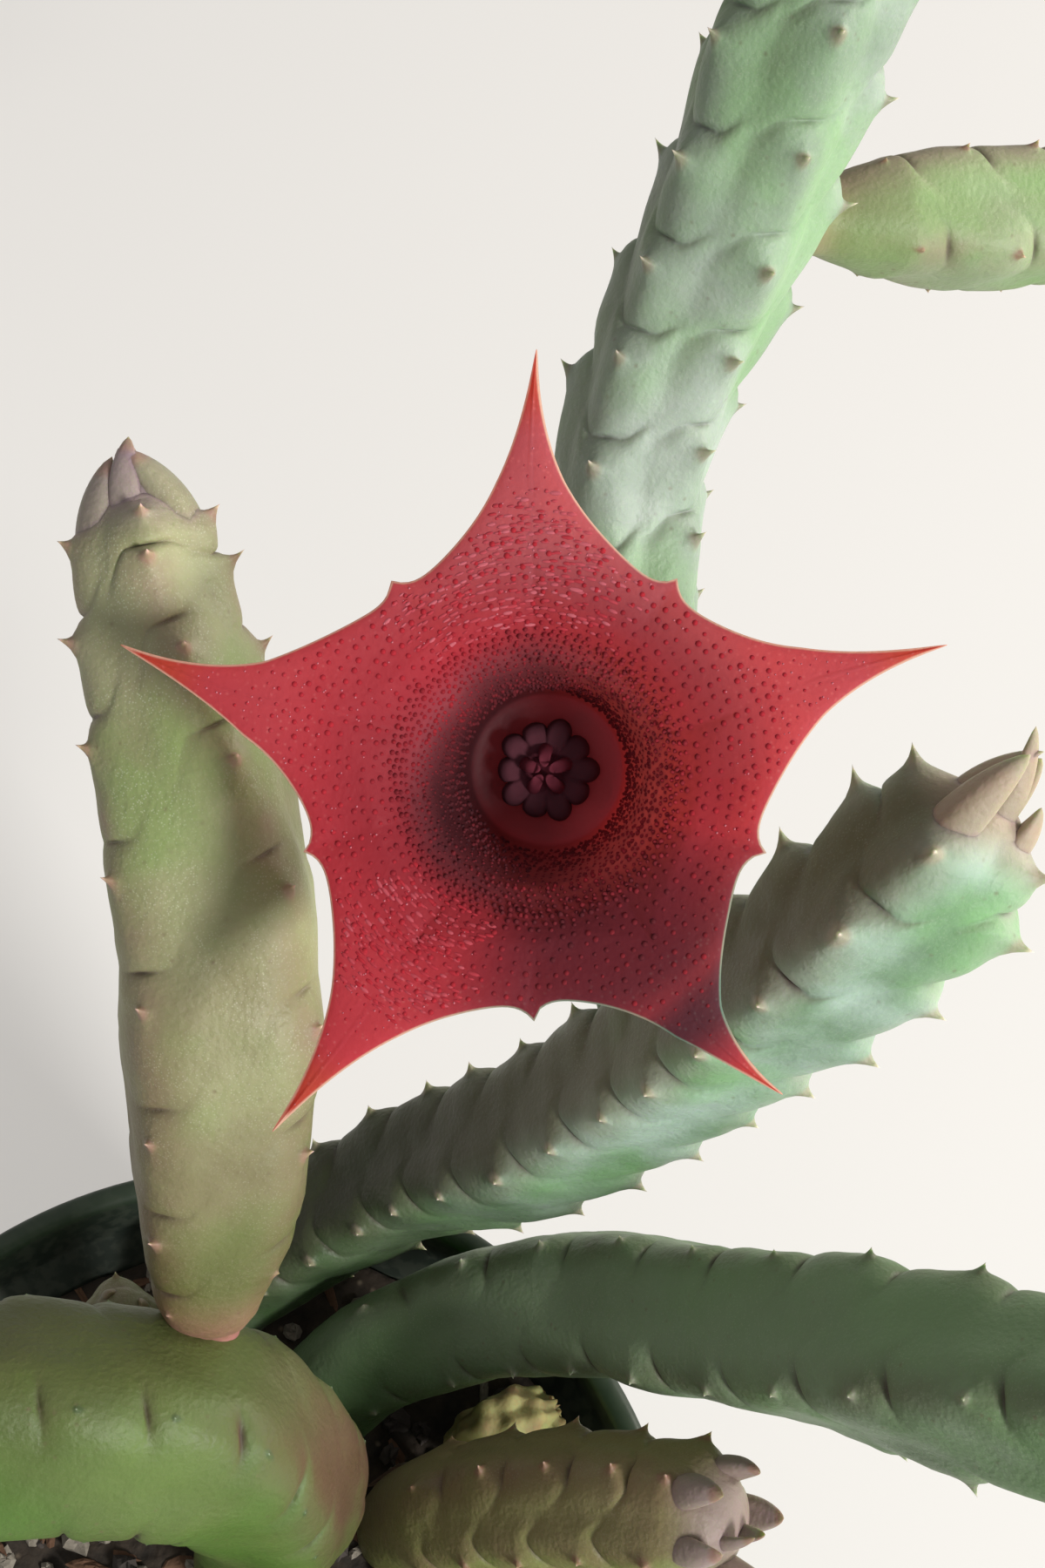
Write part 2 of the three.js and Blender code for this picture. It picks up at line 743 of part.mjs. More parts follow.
// The stalk springs from the near side of the back stem, over a tubercle's belly.
const [springX, springY, springZ, springRadius] = route.back.points[stalk.springAt];
const clear = springRadius + tubercle.rings[1].crest + seat;
const foot = new THREE.Vector3(springX, springY, springZ).addScaledVector(stalk.towards, clear);
bloom.add(pieceOf("flower_stalk", stalkGeometry(bloom.worldToLocal(foot)), finishes.stalk));

const huskPiece = pieceOf("husk_dry", huskGeometry(), finishes.husk);
huskPiece.position.copy(husk.place);
huskPiece.rotation.copy(husk.turn);
plant.add(huskPiece);

export default plant;
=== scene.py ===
# %% [markdown]
# A potted Huernia in flower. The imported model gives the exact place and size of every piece, and this
# lesson dresses it: each plain solid is replaced by a finer mesh that is made from the same rule, and
# every surface gets a material of its own. The script works in metres, and `mm` turns millimetres
# into them.

# %% Load the frame
import math

import bpy
import numpy as np
from mathutils import Matrix, Vector


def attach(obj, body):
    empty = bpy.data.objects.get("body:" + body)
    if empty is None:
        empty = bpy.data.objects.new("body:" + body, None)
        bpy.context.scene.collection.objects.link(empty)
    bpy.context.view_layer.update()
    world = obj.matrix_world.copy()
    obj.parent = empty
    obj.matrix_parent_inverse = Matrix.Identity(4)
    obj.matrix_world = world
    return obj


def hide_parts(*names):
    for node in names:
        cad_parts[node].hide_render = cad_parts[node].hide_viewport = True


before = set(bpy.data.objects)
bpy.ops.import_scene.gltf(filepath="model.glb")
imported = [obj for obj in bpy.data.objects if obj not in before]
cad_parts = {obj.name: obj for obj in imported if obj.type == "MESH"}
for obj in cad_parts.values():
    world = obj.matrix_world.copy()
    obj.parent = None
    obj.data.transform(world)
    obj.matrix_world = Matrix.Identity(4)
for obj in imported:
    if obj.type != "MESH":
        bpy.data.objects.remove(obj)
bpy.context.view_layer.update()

mm = 0.001
print("pieces in the frame:", ", ".join(sorted(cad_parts)))

# %% [markdown]
# The camera comes first, because everything else is judged through it. The picture was taken with a
# long phone lens held close above the flower, looking down at 58 degrees. The lens is worked out from
# the picture's own height: a focal length in pixels, over the 1800 pixels of the long side.

# %% Camera
camera_place = Vector((23, -32, 226)) * mm
look_down = math.radians(58)
focal_pixels = 2464
long_side_pixels = 1800
sensor = 36.0

camera_data = bpy.data.cameras.new("camera")
camera_data.sensor_width = sensor
camera_data.lens = sensor * focal_pixels / long_side_pixels
camera_data.clip_start = 1 * mm
camera = bpy.data.objects.new("camera", camera_data)
camera.location = camera_place
camera.rotation_euler = (math.radians(90) - look_down, 0, 0)
bpy.context.scene.collection.objects.link(camera)
bpy.context.scene.camera = camera
print(f"lens {camera_data.lens:.1f} mm")

# %% [markdown]
# Every mesh here is a grid of rings: a lathe shape, a stem or a petal star is a stack of closed rings
# that differ only in where their points lie. One helper joins the rings with quads and closes the two
# ends, and one turns arrays into a Blender object. Numbers that a material needs, such as how near a
# point is to a tooth, go along as attributes of the points.

# %% Grid helpers
def ring_faces(rings, columns, first=0, close_start=True, close_end=True):
    """Quads between rings of points, with each open end closed by one flat face."""
    i, j = np.meshgrid(np.arange(rings - 1), np.arange(columns), indexing="ij")
    following = (j + 1) % columns
    quads = np.stack(
        [i * columns + j, i * columns + following, (i + 1) * columns + following, (i + 1) * columns + j],
        axis=-1,
    )
    faces = (quads.reshape(-1, 4) + first).tolist()
    if close_start:
        faces.append(list(range(first + columns - 1, first - 1, -1)))
    if close_end:
        last = first + (rings - 1) * columns
        faces.append(list(range(last, last + columns)))
    return faces


class Shape:
    """Points, faces and named numbers for each point, gathered from several grids."""

    def __init__(self, *layers):
        self.points = []
        self.faces = []
        self.layers = {name: [] for name in layers}
        self.count = 0

    def add_rings(self, points, **values):
        """points is rings by columns by 3, in metres."""
        rings, columns = points.shape[:2]
        self.faces += ring_faces(rings, columns, self.count)
        self.points.append(points.reshape(-1, 3))
        for name, kept in self.layers.items():
            value = np.broadcast_to(values.get(name, 0.0), (rings, columns))
            kept.append(value.reshape(-1))
        self.count += rings * columns

    def object(self, name, material):
        """The Blender object, with the named numbers as attributes of its points."""
        mesh = bpy.data.meshes.new(name)
        mesh.from_pydata(np.concatenate(self.points).tolist(), [], self.faces)
        for layer, kept in self.layers.items():
            attribute = mesh.attributes.new(layer, "FLOAT", "POINT")
            attribute.data.foreach_set("value", np.concatenate(kept).astype(np.float32))
        mesh.shade_smooth()
        mesh.materials.append(material)
        made = bpy.data.objects.new(name, mesh)
        bpy.context.scene.collection.objects.link(made)
        triangles = sum(len(face) - 2 for face in self.faces)
        print(f"{name}: {self.count} points, {triangles} triangles")
        return made


def waves(points, length, seed, count=7):
    """Smooth even noise from -1 to 1: a few sine waves of one length in random directions."""
    draw = np.random.default_rng(seed)
    heading = draw.normal(size=(count, 3))
    heading *= 2 * math.pi / length / np.linalg.norm(heading, axis=1, keepdims=True)
    phase = draw.uniform(0, 2 * math.pi, count)
    return np.sin(points @ heading.T + phase).mean(axis=-1) * 1.6


def blend(low, high, value):
    """0 below low, 1 above high, and a smooth step between."""
    t = np.clip((value - low) / (high - low), 0, 1)
    return t * t * (3 - 2 * t)


def finish_piece(piece, slot, *nodes):
    """Rides the piece on the root and takes the place of its solid. The slot is not used."""
    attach(piece, "root")
    if nodes:
        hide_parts(*nodes)


print("a tube of 3 rings and 8 columns has", len(ring_faces(3, 8)), "faces")

# %% [markdown]
# Materials are built from node trees. Two short helpers keep that readable: `put` adds a node and sets
# its sockets, and `join` draws a link. Effects that many surfaces share are node groups: a cloudy
# mottle, a sprinkle of dots, and a fine grain for the bump. Each group gives out only a mask or a
# height, and every material places it with its own scale and strength.

# %% Node helpers
def put(tree, kind, settings=None, **sockets):
    """Adds a node. settings are its own options, and sockets are values or links for its inputs."""
    made = tree.nodes.new("ShaderNode" + kind)
    for name, value in (settings or {}).items():
        setattr(made, name, value)
    for name, value in sockets.items():
        socket = made.inputs[name.replace("_", " ")]
        if isinstance(value, bpy.types.NodeSocket):
            tree.links.new(value, socket)
        else:
            socket.default_value = value
    return made


def join(tree, source, target):
    tree.links.new(source, target)


def new_group(name, inputs, outputs):
    """A shader node group with named float inputs, given with their defaults, and float outputs."""
    group = bpy.data.node_groups.new(name, "ShaderNodeTree")
    for label, value in inputs.items():
        socket = group.interface.new_socket(label, in_out="INPUT", socket_type="NodeSocketFloat")
        socket.default_value = value
    for label in outputs:
        group.interface.new_socket(label, in_out="OUTPUT", socket_type="NodeSocketFloat")
    return group, group.nodes.new("NodeGroupInput"), group.nodes.new("NodeGroupOutput")


def shifted_coordinates(tree, seed_socket):
    """Object coordinates moved by a seed, so that two uses of a group don't show one pattern."""
    place = put(tree, "TexCoord")
    shift = put(tree, "VectorMath", {"operation": "ADD"})
    join(tree, place.outputs["Object"], shift.inputs[0])
    join(tree, seed_socket, shift.inputs[1])
    return shift.outputs["Vector"]


# %% Group: mottle
mottle, given, result = new_group("mottle", {"Scale": 100, "Contrast": 0.4, "Seed": 0}, ["Mask"])
cloud = put(mottle, "TexNoise", Vector=shifted_coordinates(mottle, given.outputs["Seed"]), Detail=4.0)
join(mottle, given.outputs["Scale"], cloud.inputs["Scale"])
low_edge = put(mottle, "Math", {"operation": "SUBTRACT"})
low_edge.inputs[0].default_value = 0.5
join(mottle, given.outputs["Contrast"], low_edge.inputs[1])
high_edge = put(mottle, "Math", {"operation": "ADD"})
high_edge.inputs[0].default_value = 0.5
join(mottle, given.outputs["Contrast"], high_edge.inputs[1])
stretch = put(mottle, "MapRange", Value=cloud.outputs["Fac"])
join(mottle, low_edge.outputs["Value"], stretch.inputs["From Min"])
join(mottle, high_edge.outputs["Value"], stretch.inputs["From Max"])
join(mottle, stretch.outputs["Result"], result.inputs["Mask"])
print("mottle:", len(mottle.nodes), "nodes")

# %% Group: speckle
speckle, given, result = new_group("speckle", {"Scale": 2000, "Size": 0.2, "Seed": 0}, ["Mask"])
cells = put(speckle, "TexVoronoi", Vector=shifted_coordinates(speckle, given.outputs["Seed"]))
join(speckle, given.outputs["Scale"], cells.inputs["Scale"])
dot = put(speckle, "MapRange", {"interpolation_type": "SMOOTHSTEP"}, Value=cells.outputs["Distance"])
join(speckle, given.outputs["Size"], dot.inputs["From Max"])
dot.inputs["To Min"].default_value = 1.0
dot.inputs["To Max"].default_value = 0.0
join(speckle, dot.outputs["Result"], result.inputs["Mask"])
print("speckle:", len(speckle.nodes), "nodes")

# %% Group: grain
grain, given, result = new_group("grain", {"Scale": 1500, "Coarse Share": 0.5, "Seed": 0}, ["Height"])
where = shifted_coordinates(grain, given.outputs["Seed"])
fine_noise = put(grain, "TexNoise", Vector=where, Detail=3.0)
join(grain, given.outputs["Scale"], fine_noise.inputs["Scale"])
quarter = put(grain, "Math", {"operation": "MULTIPLY"})
join(grain, given.outputs["Scale"], quarter.inputs[0])
quarter.inputs[1].default_value = 0.25
coarse_noise = put(grain, "TexNoise", Vector=where, Detail=2.0)
join(grain, quarter.outputs["Value"], coarse_noise.inputs["Scale"])
both = put(grain, "Mix", {"data_type": "FLOAT"})
join(grain, given.outputs["Coarse Share"], both.inputs[0])
join(grain, fine_noise.outputs["Fac"], both.inputs[2])
join(grain, coarse_noise.outputs["Fac"], both.inputs[3])
join(grain, both.outputs[0], result.inputs["Height"])
print("grain:", len(grain.nodes), "nodes")


# %% Material helpers
def new_material(name):
    """A material with its node tree and its principled shader."""
    material = bpy.data.materials.new(name)
    material.use_nodes = True
    tree = material.node_tree
    return material, tree, tree.nodes["Principled BSDF"]


def use(tree, group, output, **values):
    """Places a node group and gives its output socket."""
    made = tree.nodes.new("ShaderNodeGroup")
    made.node_tree = group
    for name, value in values.items():
        made.inputs[name.replace("_", " ")].default_value = value
    return made.outputs[output]


def layer(tree, name):
    """The number that the mesh holds for each point under this name."""
    return put(tree, "Attribute", {"attribute_name": name}).outputs["Fac"]


def tint(tree, mask, under, over, kind="MIX"):
    """under, with over mixed in where mask is 1. Either may be a colour or a socket."""
    mix = put(tree, "Mix", {"data_type": "RGBA", "blend_type": kind})
    for socket, value in ((mix.inputs[0], mask), (mix.inputs[6], under), (mix.inputs[7], over)):
        if isinstance(value, bpy.types.NodeSocket):
            join(tree, value, socket)
        elif isinstance(value, tuple):
            socket.default_value = (*value, 1)
        else:
            socket.default_value = value
    return mix.outputs[2]


def scaled(tree, value, factor, offset=0.0):
    """value times factor plus offset, kept between 0 and 1."""
    made = put(tree, "Math", {"operation": "MULTIPLY_ADD", "use_clamp": True})
    join(tree, value, made.inputs[0])
    made.inputs[1].default_value = factor
    made.inputs[2].default_value = offset
    return made.outputs[0]


def times(tree, one, other):
    """Two masks multiplied: 1 only where both are."""
    made = put(tree, "Math", {"operation": "MULTIPLY"})
    join(tree, one, made.inputs[0])
    join(tree, other, made.inputs[1])
    return made.outputs[0]


def ramp(tree, value, low, high):
    """0 at low, 1 at high, smooth between, for a socket."""
    made = put(tree, "MapRange", {"interpolation_type": "SMOOTHSTEP"}, Value=value)
    made.inputs["From Min"].default_value = low
    made.inputs["From Max"].default_value = high
    return made.outputs["Result"]


def bump(tree, shader, height, depth, strength=1.0):
    """Raises the surface by height, which goes from 0 to 1, times depth in metres."""
    made = put(tree, "Bump", Distance=depth, Strength=strength)
    join(tree, height, made.inputs["Height"])
    join(tree, made.outputs["Normal"], shader.inputs["Normal"])


def let_light_through(tree, shader, share, colour):
    """Mixes a share of light of a colour from behind into a principled shader."""
    through = put(tree, "BsdfTranslucent", Color=colour)
    both_ways = put(tree, "MixShader")
    join(tree, share, both_ways.inputs[0])
    join(tree, shader.outputs["BSDF"], both_ways.inputs[1])
    join(tree, through.outputs["BSDF"], both_ways.inputs[2])
    join(tree, both_ways.outputs["Shader"], tree.nodes["Material Output"].inputs["Surface"])


# %% [markdown]
# The stems of a Huernia are soft and ribbed. Each rib is a row of tubercles, and each tubercle ends
# in a tooth with a dark crease beyond it. The skin is dull green under a pale wax, browner where the
# sun reaches it, with a dark line in each crease and brownish teeth that dry to a pale point. Its colour
# also holds painted light and shade: on the upper left side, at the foot and the tip, and in the hollow
# round each crease. The material reads those places from the mesh, so one function serves every stem
# with its own colours.

# %% The flesh, its sun browning and the painted light and shade on its upper left side
# the colour of this side is sun browning together with painted light and shade: darker on some stems, lighter
# on others
upper_left = (-0.62, 0.45, 0.64)  # the side of the stems that has had the most sun
green_share = (0.6, 0.92, 0.45)  # what the fresh colour is multiplied by in the greener patches


def flesh_colour(tree, shade, fresh, sunned_painted_light, sunned_painted_light_share, rib_colour, seed):
    """Two greens in clouds, greener patches, an upper left side that is browned by sun and painted with light
    and shade, and another tone on the ribs.
    """
    cloud_mask = use(tree, mottle, "Mask", Scale=140, Contrast=0.14, Seed=seed)
    colour = tint(tree, cloud_mask, shade, fresh)
    patch = use(tree, mottle, "Mask", Scale=60, Contrast=0.06, Seed=seed + 1)
    green = tuple(channel * share for channel, share in zip(fresh, green_share))
    colour = tint(tree, scaled(tree, patch, 0.65), colour, green)
    facing = put(tree, "VectorMath", {"operation": "DOT_PRODUCT"})
    join(tree, put(tree, "NewGeometry").outputs["Normal"], facing.inputs[0])
    facing.inputs[1].default_value = upper_left
    sunned_painted_light_mask = scaled(tree, ramp(tree, facing.outputs["Value"], -0.1, 0.9), sunned_painted_light_share)
    colour = tint(tree, sunned_painted_light_mask, colour, sunned_painted_light)
    rib_cloud = use(tree, mottle, "Mask", Scale=300, Contrast=0.2, Seed=seed + 5)
    rib_mask = scaled(tree, times(tree, layer(tree, "rib"), rib_cloud), 0.75)
    return tint(tree, rib_mask, colour, rib_colour)


# %% Wax and freckles
wax_colour = (0.56, 0.58, 0.46)
freckle_colour = (0.13, 0.075, 0.05)


def marked_colour(tree, colour, wax_share, seed):
    """Fine grains of wax, and sparse brown freckles, both thicker in some clouds than in others."""
    wax = use(tree, speckle, "Mask", Scale=5600, Size=0.4, Seed=seed)
    wax_cloud = use(tree, mottle, "Mask", Scale=260, Contrast=0.2, Seed=seed + 2)
    colour = tint(tree, scaled(tree, times(tree, wax, wax_cloud), wax_share), colour, wax_colour)
    freckle = use(tree, speckle, "Mask", Scale=900, Size=0.2, Seed=seed + 6)
    freckle_cloud = use(tree, mottle, "Mask", Scale=200, Contrast=0.1, Seed=seed + 7)
    return tint(tree, scaled(tree, times(tree, freckle, freckle_cloud), 0.45), colour, freckle_colour)


# %% From the foot to the tip
pink_colour = (0.38, 0.15, 0.14)
bend_colour = (0.09, 0.075, 0.03)
bend_edge_colour = (0.1, 0.045, 0.03)


def toned_colour(tree, colour, foot_shade_tone, tip_light_shade_tone, foot_end, pink_foot, bend, seed):
    """Painted shade at the foot, painted light and shade at the tip, a pink blush at the foot, and a darker
    right side where a stem bends.
    """
    along = layer(tree, "along")
    colour = tint(tree, ramp(tree, along, foot_end, foot_end - 0.4), colour, foot_shade_tone, "MULTIPLY")
    colour = tint(tree, ramp(tree, along, 0.45, 0.85), colour, tip_light_shade_tone, "MULTIPLY")
    blotch = use(tree, mottle, "Mask", Scale=250, Contrast=0.3, Seed=seed + 4)
    foot_mask = times(tree, ramp(tree, along, 0.17, 0.06), scaled(tree, blotch, 0.9, 0.35))
    colour = tint(tree, scaled(tree, foot_mask, pink_foot), colour, pink_colour)
    sideways = put(tree, "SeparateXYZ", Vector=put(tree, "NewGeometry").outputs["Normal"]).outputs["X"]
    bend_mask = times(tree, layer(tree, "bend"), ramp(tree, sideways, 0.2, 1.0))
    colour = tint(tree, scaled(tree, bend_mask, 0.7 * bend), colour, bend_colour)
    edge_mask = times(tree, layer(tree, "bend"), ramp(tree, sideways, 0.84, 1.0))
    return tint(tree, scaled(tree, edge_mask, 0.6 * bend), colour, bend_edge_colour)


# %% Creases and teeth
# a dark line in each crease, and painted shade in the hollow round it
crease_line_and_shade_colour = (0.06, 0.03, 0.028)


def toothed_colour(tree, colour, young, young_share, crease_line_and_shade_share, tooth_colour):
    """Young tubercles at the tip, dark creases with painted shade in the hollow round them, and teeth with a
    pale dry point.
    """
    colour = tint(tree, scaled(tree, layer(tree, "young"), young_share), colour, young)
    colour = tint(tree, scaled(tree, layer(tree, "crease"), crease_line_and_shade_share), colour, crease_line_and_shade_colour)
    tooth = layer(tree, "tooth")
    colour = tint(tree, scaled(tree, ramp(tree, tooth, 0.1, 0.4), 0.7), colour, tooth_colour)
    pale_point = tuple(1.6 * channel + 0.1 for channel in tooth_colour)
    return tint(tree, ramp(tree, tooth, 0.62, 0.9), colour, pale_point)


# %% Stem skin material
def stem_material(
    name, shade, fresh, sunned_painted_light, sunned_painted_light_share, rib_colour, tooth_colour, foot_shade_tone, tip_light_shade_tone,
    foot_end=0.45, pink_foot=0.0, bend=0.0, young_share=0.9, young=(0.26, 0.195, 0.185),
    crease_line_and_shade_share=0.85, wax_share=0.2, seed=0.0,
):
    """A soft waxy skin. The tones are what the colour is multiplied by at the foot and at the tip, as painted
    shade at the foot and painted light and shade at the tip, and the shares, pink_foot and bend say how
    strong their effects are."""
    material, tree, skin = new_material(name)
    colour = flesh_colour(tree, shade, fresh, sunned_painted_light, sunned_painted_light_share, rib_colour, seed)
    colour = marked_colour(tree, colour, wax_share, seed)
    colour = toned_colour(tree, colour, foot_shade_tone, tip_light_shade_tone, foot_end, pink_foot, bend, seed)
    colour = toothed_colour(tree, colour, young, young_share, crease_line_and_shade_share, tooth_colour)
    join(tree, colour, skin.inputs["Base Color"])
    gloss = use(tree, mottle, "Mask", Scale=400, Contrast=0.3, Seed=seed + 3)
    join(tree, scaled(tree, gloss, 0.16, 0.46), skin.inputs["Roughness"])
    height = use(tree, grain, "Height", Scale=2600, Coarse_Share=0.45, Seed=seed)
    bump(tree, skin, height, 0.16 * mm, 0.8)
    skin.inputs["Subsurface Weight"].default_value = 0.35
    skin.inputs["Subsurface Radius"].default_value = (0.5, 1.0, 0.3)
    skin.inputs["Subsurface Scale"].default_value = 1.6 * mm
    skin.inputs["Specular IOR Level"].default_value = 0.35
    print(f"{name}: {len(tree.nodes)} nodes")
    return material


# %% The skin of each stem
olive_skin = stem_material(
    "olive_skin", shade=(0.21, 0.2, 0.1), fresh=(0.28, 0.29, 0.15), sunned_painted_light=(0.25, 0.21, 0.13),
    sunned_painted_light_share=0.4, rib_colour=(0.25, 0.17, 0.12), tooth_colour=(0.3, 0.17, 0.13),
    foot_shade_tone=(0.55, 0.45, 0.4), tip_light_shade_tone=(1.1, 1.14, 1.2), foot_end=0.54, pink_foot=0.95,
    young=(0.27, 0.21, 0.21), crease_line_and_shade_share=0.6, wax_share=0.5, seed=1,
)
pale_skin = stem_material(
    "pale_skin", shade=(0.075, 0.115, 0.024), fresh=(0.1, 0.155, 0.034), sunned_painted_light=(0.13, 0.125, 0.05),
    sunned_painted_light_share=0.7, rib_colour=(0.085, 0.11, 0.035), tooth_colour=(0.05, 0.08, 0.03),
    foot_shade_tone=(1.0, 1.0, 1.0), tip_light_shade_tone=(0.85, 0.85, 0.85), bend=1.2, wax_share=0.06, seed=2,
)
green_skin = stem_material(
    "green_skin", shade=(0.14, 0.24, 0.14), fresh=(0.33, 0.45, 0.37), sunned_painted_light=(0.115, 0.095, 0.053),
    sunned_painted_light_share=0.9, rib_colour=(0.33, 0.36, 0.29), tooth_colour=(0.32, 0.27, 0.2),
    foot_shade_tone=(0.27, 0.29, 0.19), tip_light_shade_tone=(1.0, 1.0, 1.0), foot_end=0.72,
    young=(0.36, 0.27, 0.2), seed=3,
)
back_skin = stem_material(
    "back_skin", shade=(0.21, 0.28, 0.21), fresh=(0.35, 0.42, 0.36), sunned_painted_light=(0.15, 0.16, 0.1),
    sunned_painted_light_share=0.6, rib_colour=(0.22, 0.27, 0.22), tooth_colour=(0.22, 0.18, 0.13),
    foot_shade_tone=(0.9, 0.9, 0.85), tip_light_shade_tone=(0.95, 0.95, 0.95), crease_line_and_shade_share=0.3, seed=7,
)
side_skin = stem_material(
    "side_skin", shade=(0.21, 0.28, 0.15), fresh=(0.29, 0.36, 0.22), sunned_painted_light=(0.28, 0.2, 0.17),
    sunned_painted_light_share=0.75, rib_colour=(0.28, 0.24, 0.17), tooth_colour=(0.22, 0.09, 0.07),
    foot_shade_tone=(0.95, 0.8, 0.8), tip_light_shade_tone=(1.0, 1.0, 1.0), pink_foot=0.4, seed=6,
)
dark_skin = stem_material(
    "dark_skin", shade=(0.09, 0.14, 0.07), fresh=(0.14, 0.2, 0.12), sunned_painted_light=(0.2, 0.27, 0.16),
    sunned_painted_light_share=0.6, rib_colour=(0.1, 0.11, 0.06), tooth_colour=(0.17, 0.17, 0.12),
    foot_shade_tone=(0.35, 0.4, 0.3), tip_light_shade_tone=(1.0, 1.0, 1.0), seed=4,
)
brown_skin = stem_material(
    "brown_skin", shade=(0.17, 0.18, 0.06), fresh=(0.22, 0.2, 0.085), sunned_painted_light=(0.23, 0.165, 0.09),
    sunned_painted_light_share=0.6, rib_colour=(0.17, 0.1, 0.06), tooth_colour=(0.22, 0.11, 0.08),
    foot_shade_tone=(0.6, 0.6, 0.5), tip_light_shade_tone=(1.0, 1.0, 1.0), seed=5,
)
shoot_skin = stem_material(
    "shoot_skin", shade=(0.1, 0.1, 0.035), fresh=(0.14, 0.13, 0.05), sunned_painted_light=(0.13, 0.11, 0.05),
    sunned_painted_light_share=0.5, rib_colour=(0.12, 0.1, 0.05), tooth_colour=(0.14, 0.09, 0.05),
    foot_shade_tone=(0.8, 0.8, 0.7), tip_light_shade_tone=(1.0, 1.0, 1.0), young_share=0.15, seed=8,
)

# %% [markdown]
# A stem is a tube along a curve. The curve goes through a few listed points, each with the
# stem's radius there, and it is the same centripetal curve that the solids use, so the fine skin
# lies where they do. At any distance along it there is a frame: one way along the stem, one way
# towards the picture's viewer, and one aside.

# %% Stem routes
# Each point is x, y, z and radius, in millimetres.
routes = {
    "low_left": [
        (2, 5, 43, 3.8), (2, 5, 54, 4.2), (4.8, 4.8, 66, 5.6), (5.9, 4.9, 79.2, 6.3), (2.7, 5.2, 89.3, 6.5),
        (-4.5, 4.7, 93.9, 6.6), (-14, 4.5, 95.2, 6.7), (-25, 3.5, 93, 6.3), (-35, 1.5, 87, 5.4),
        (-42, 0, 81, 4.2),
    ],
    "left": [
        (2.6, 7.6, 90.5, 2.2), (2.9, 11.1, 93.5, 2.3), (3.4, 12.3, 95.5, 3.5), (3.8, 14.3, 98.3, 4.6),
        (4.4, 16.9, 102.1, 5.4), (5, 22.4, 109.6, 6.2), (5, 27.8, 114.8, 6.3), (4.1, 33.7, 120.8, 5.7),
        (2.9, 38.8, 125.8, 4.7), (1.8, 42.8, 129.5, 3.9), (1.3, 46.3, 132.4, 3.0),
    ],
    "right": [
        (-2, 25, 43, 3.8), (-2, 25, 54, 4.1), (3.5, 27, 61.2, 4.6), (14.2, 28.8, 72.6, 4.9),
        (23, 27, 83.8, 5.4), (31.6, 26.7, 96.5, 5.2), (37.8, 26, 109, 5.2), (43, 26.4, 118.4, 5.3),
        (46.6, 27.9, 122.9, 5.0), (49.1, 29.3, 126.3, 3.3),
    ],
    "low": [
        (6.5, 16.5, 43, 3.8), (6.5, 16.5, 54, 4.1), (11, 18.4, 60.8, 4.6), (19, 20.4, 65, 5.1),
        (28, 19.4, 71.5, 5.6), (36.3, 15.2, 79.9, 5.6), (43, 11.3, 88, 5.7), (49.2, 7, 95.8, 5.7),
        (55.7, 3.2, 101.8, 5.4), (61, 0.2, 106.5, 4.3),
    ],
    "front": [
        (14.3, 7.5, 43, 3.6), (14.3, 7.5, 54, 4.0), (18.2, 6.5, 63, 4.6), (26, 4.9, 72, 4.9),
        (32.4, 2.9, 78.3, 4.6), (36.7, 1.2, 82.6, 3.6),
    ],
    "back": [
        (30, 28, 94.5, 1.9), (30.5, 31, 95.5, 2.4), (31, 34.5, 96.6, 4.2), (31, 40, 99.5, 5.0),
        (30, 46, 105, 5.1), (29.7, 53, 111, 5.1), (30.1, 60, 117.3, 5.1), (32, 64, 122, 5.1),
        (34.2, 66.8, 126.5, 5.2), (36.5, 69, 132.7, 5.3), (38.3, 71, 138.6, 5.3), (40, 73, 144.2, 5.2),
        (41.5, 75.3, 150, 4.9), (42.5, 77.5, 155, 4.0),
    ],
    "side": [
        (38.5, 69.8, 130.5, 1.9), (42, 71.2, 129, 2.4), (46.5, 72.4, 127.8, 4.0), (52, 74, 126.2, 4.5),
        (58, 76, 124.7, 4.5), (65, 78, 123.4, 4.3), (71, 79.5, 122.6, 3.4),
    ],
    "shoot": [
        (-9, 17, 43, 2.6), (-9, 17, 54, 2.8), (-8.4, 17.3, 60, 3.3), (-7, 18, 69, 3.4), (-6, 18.3, 74, 2.8),
    ],
}
towards_viewer = np.array((0, -0.53, 0.85)) / math.hypot(0.53, 0.85)
print("points of each route:", {name: len(points) for name, points in routes.items()})


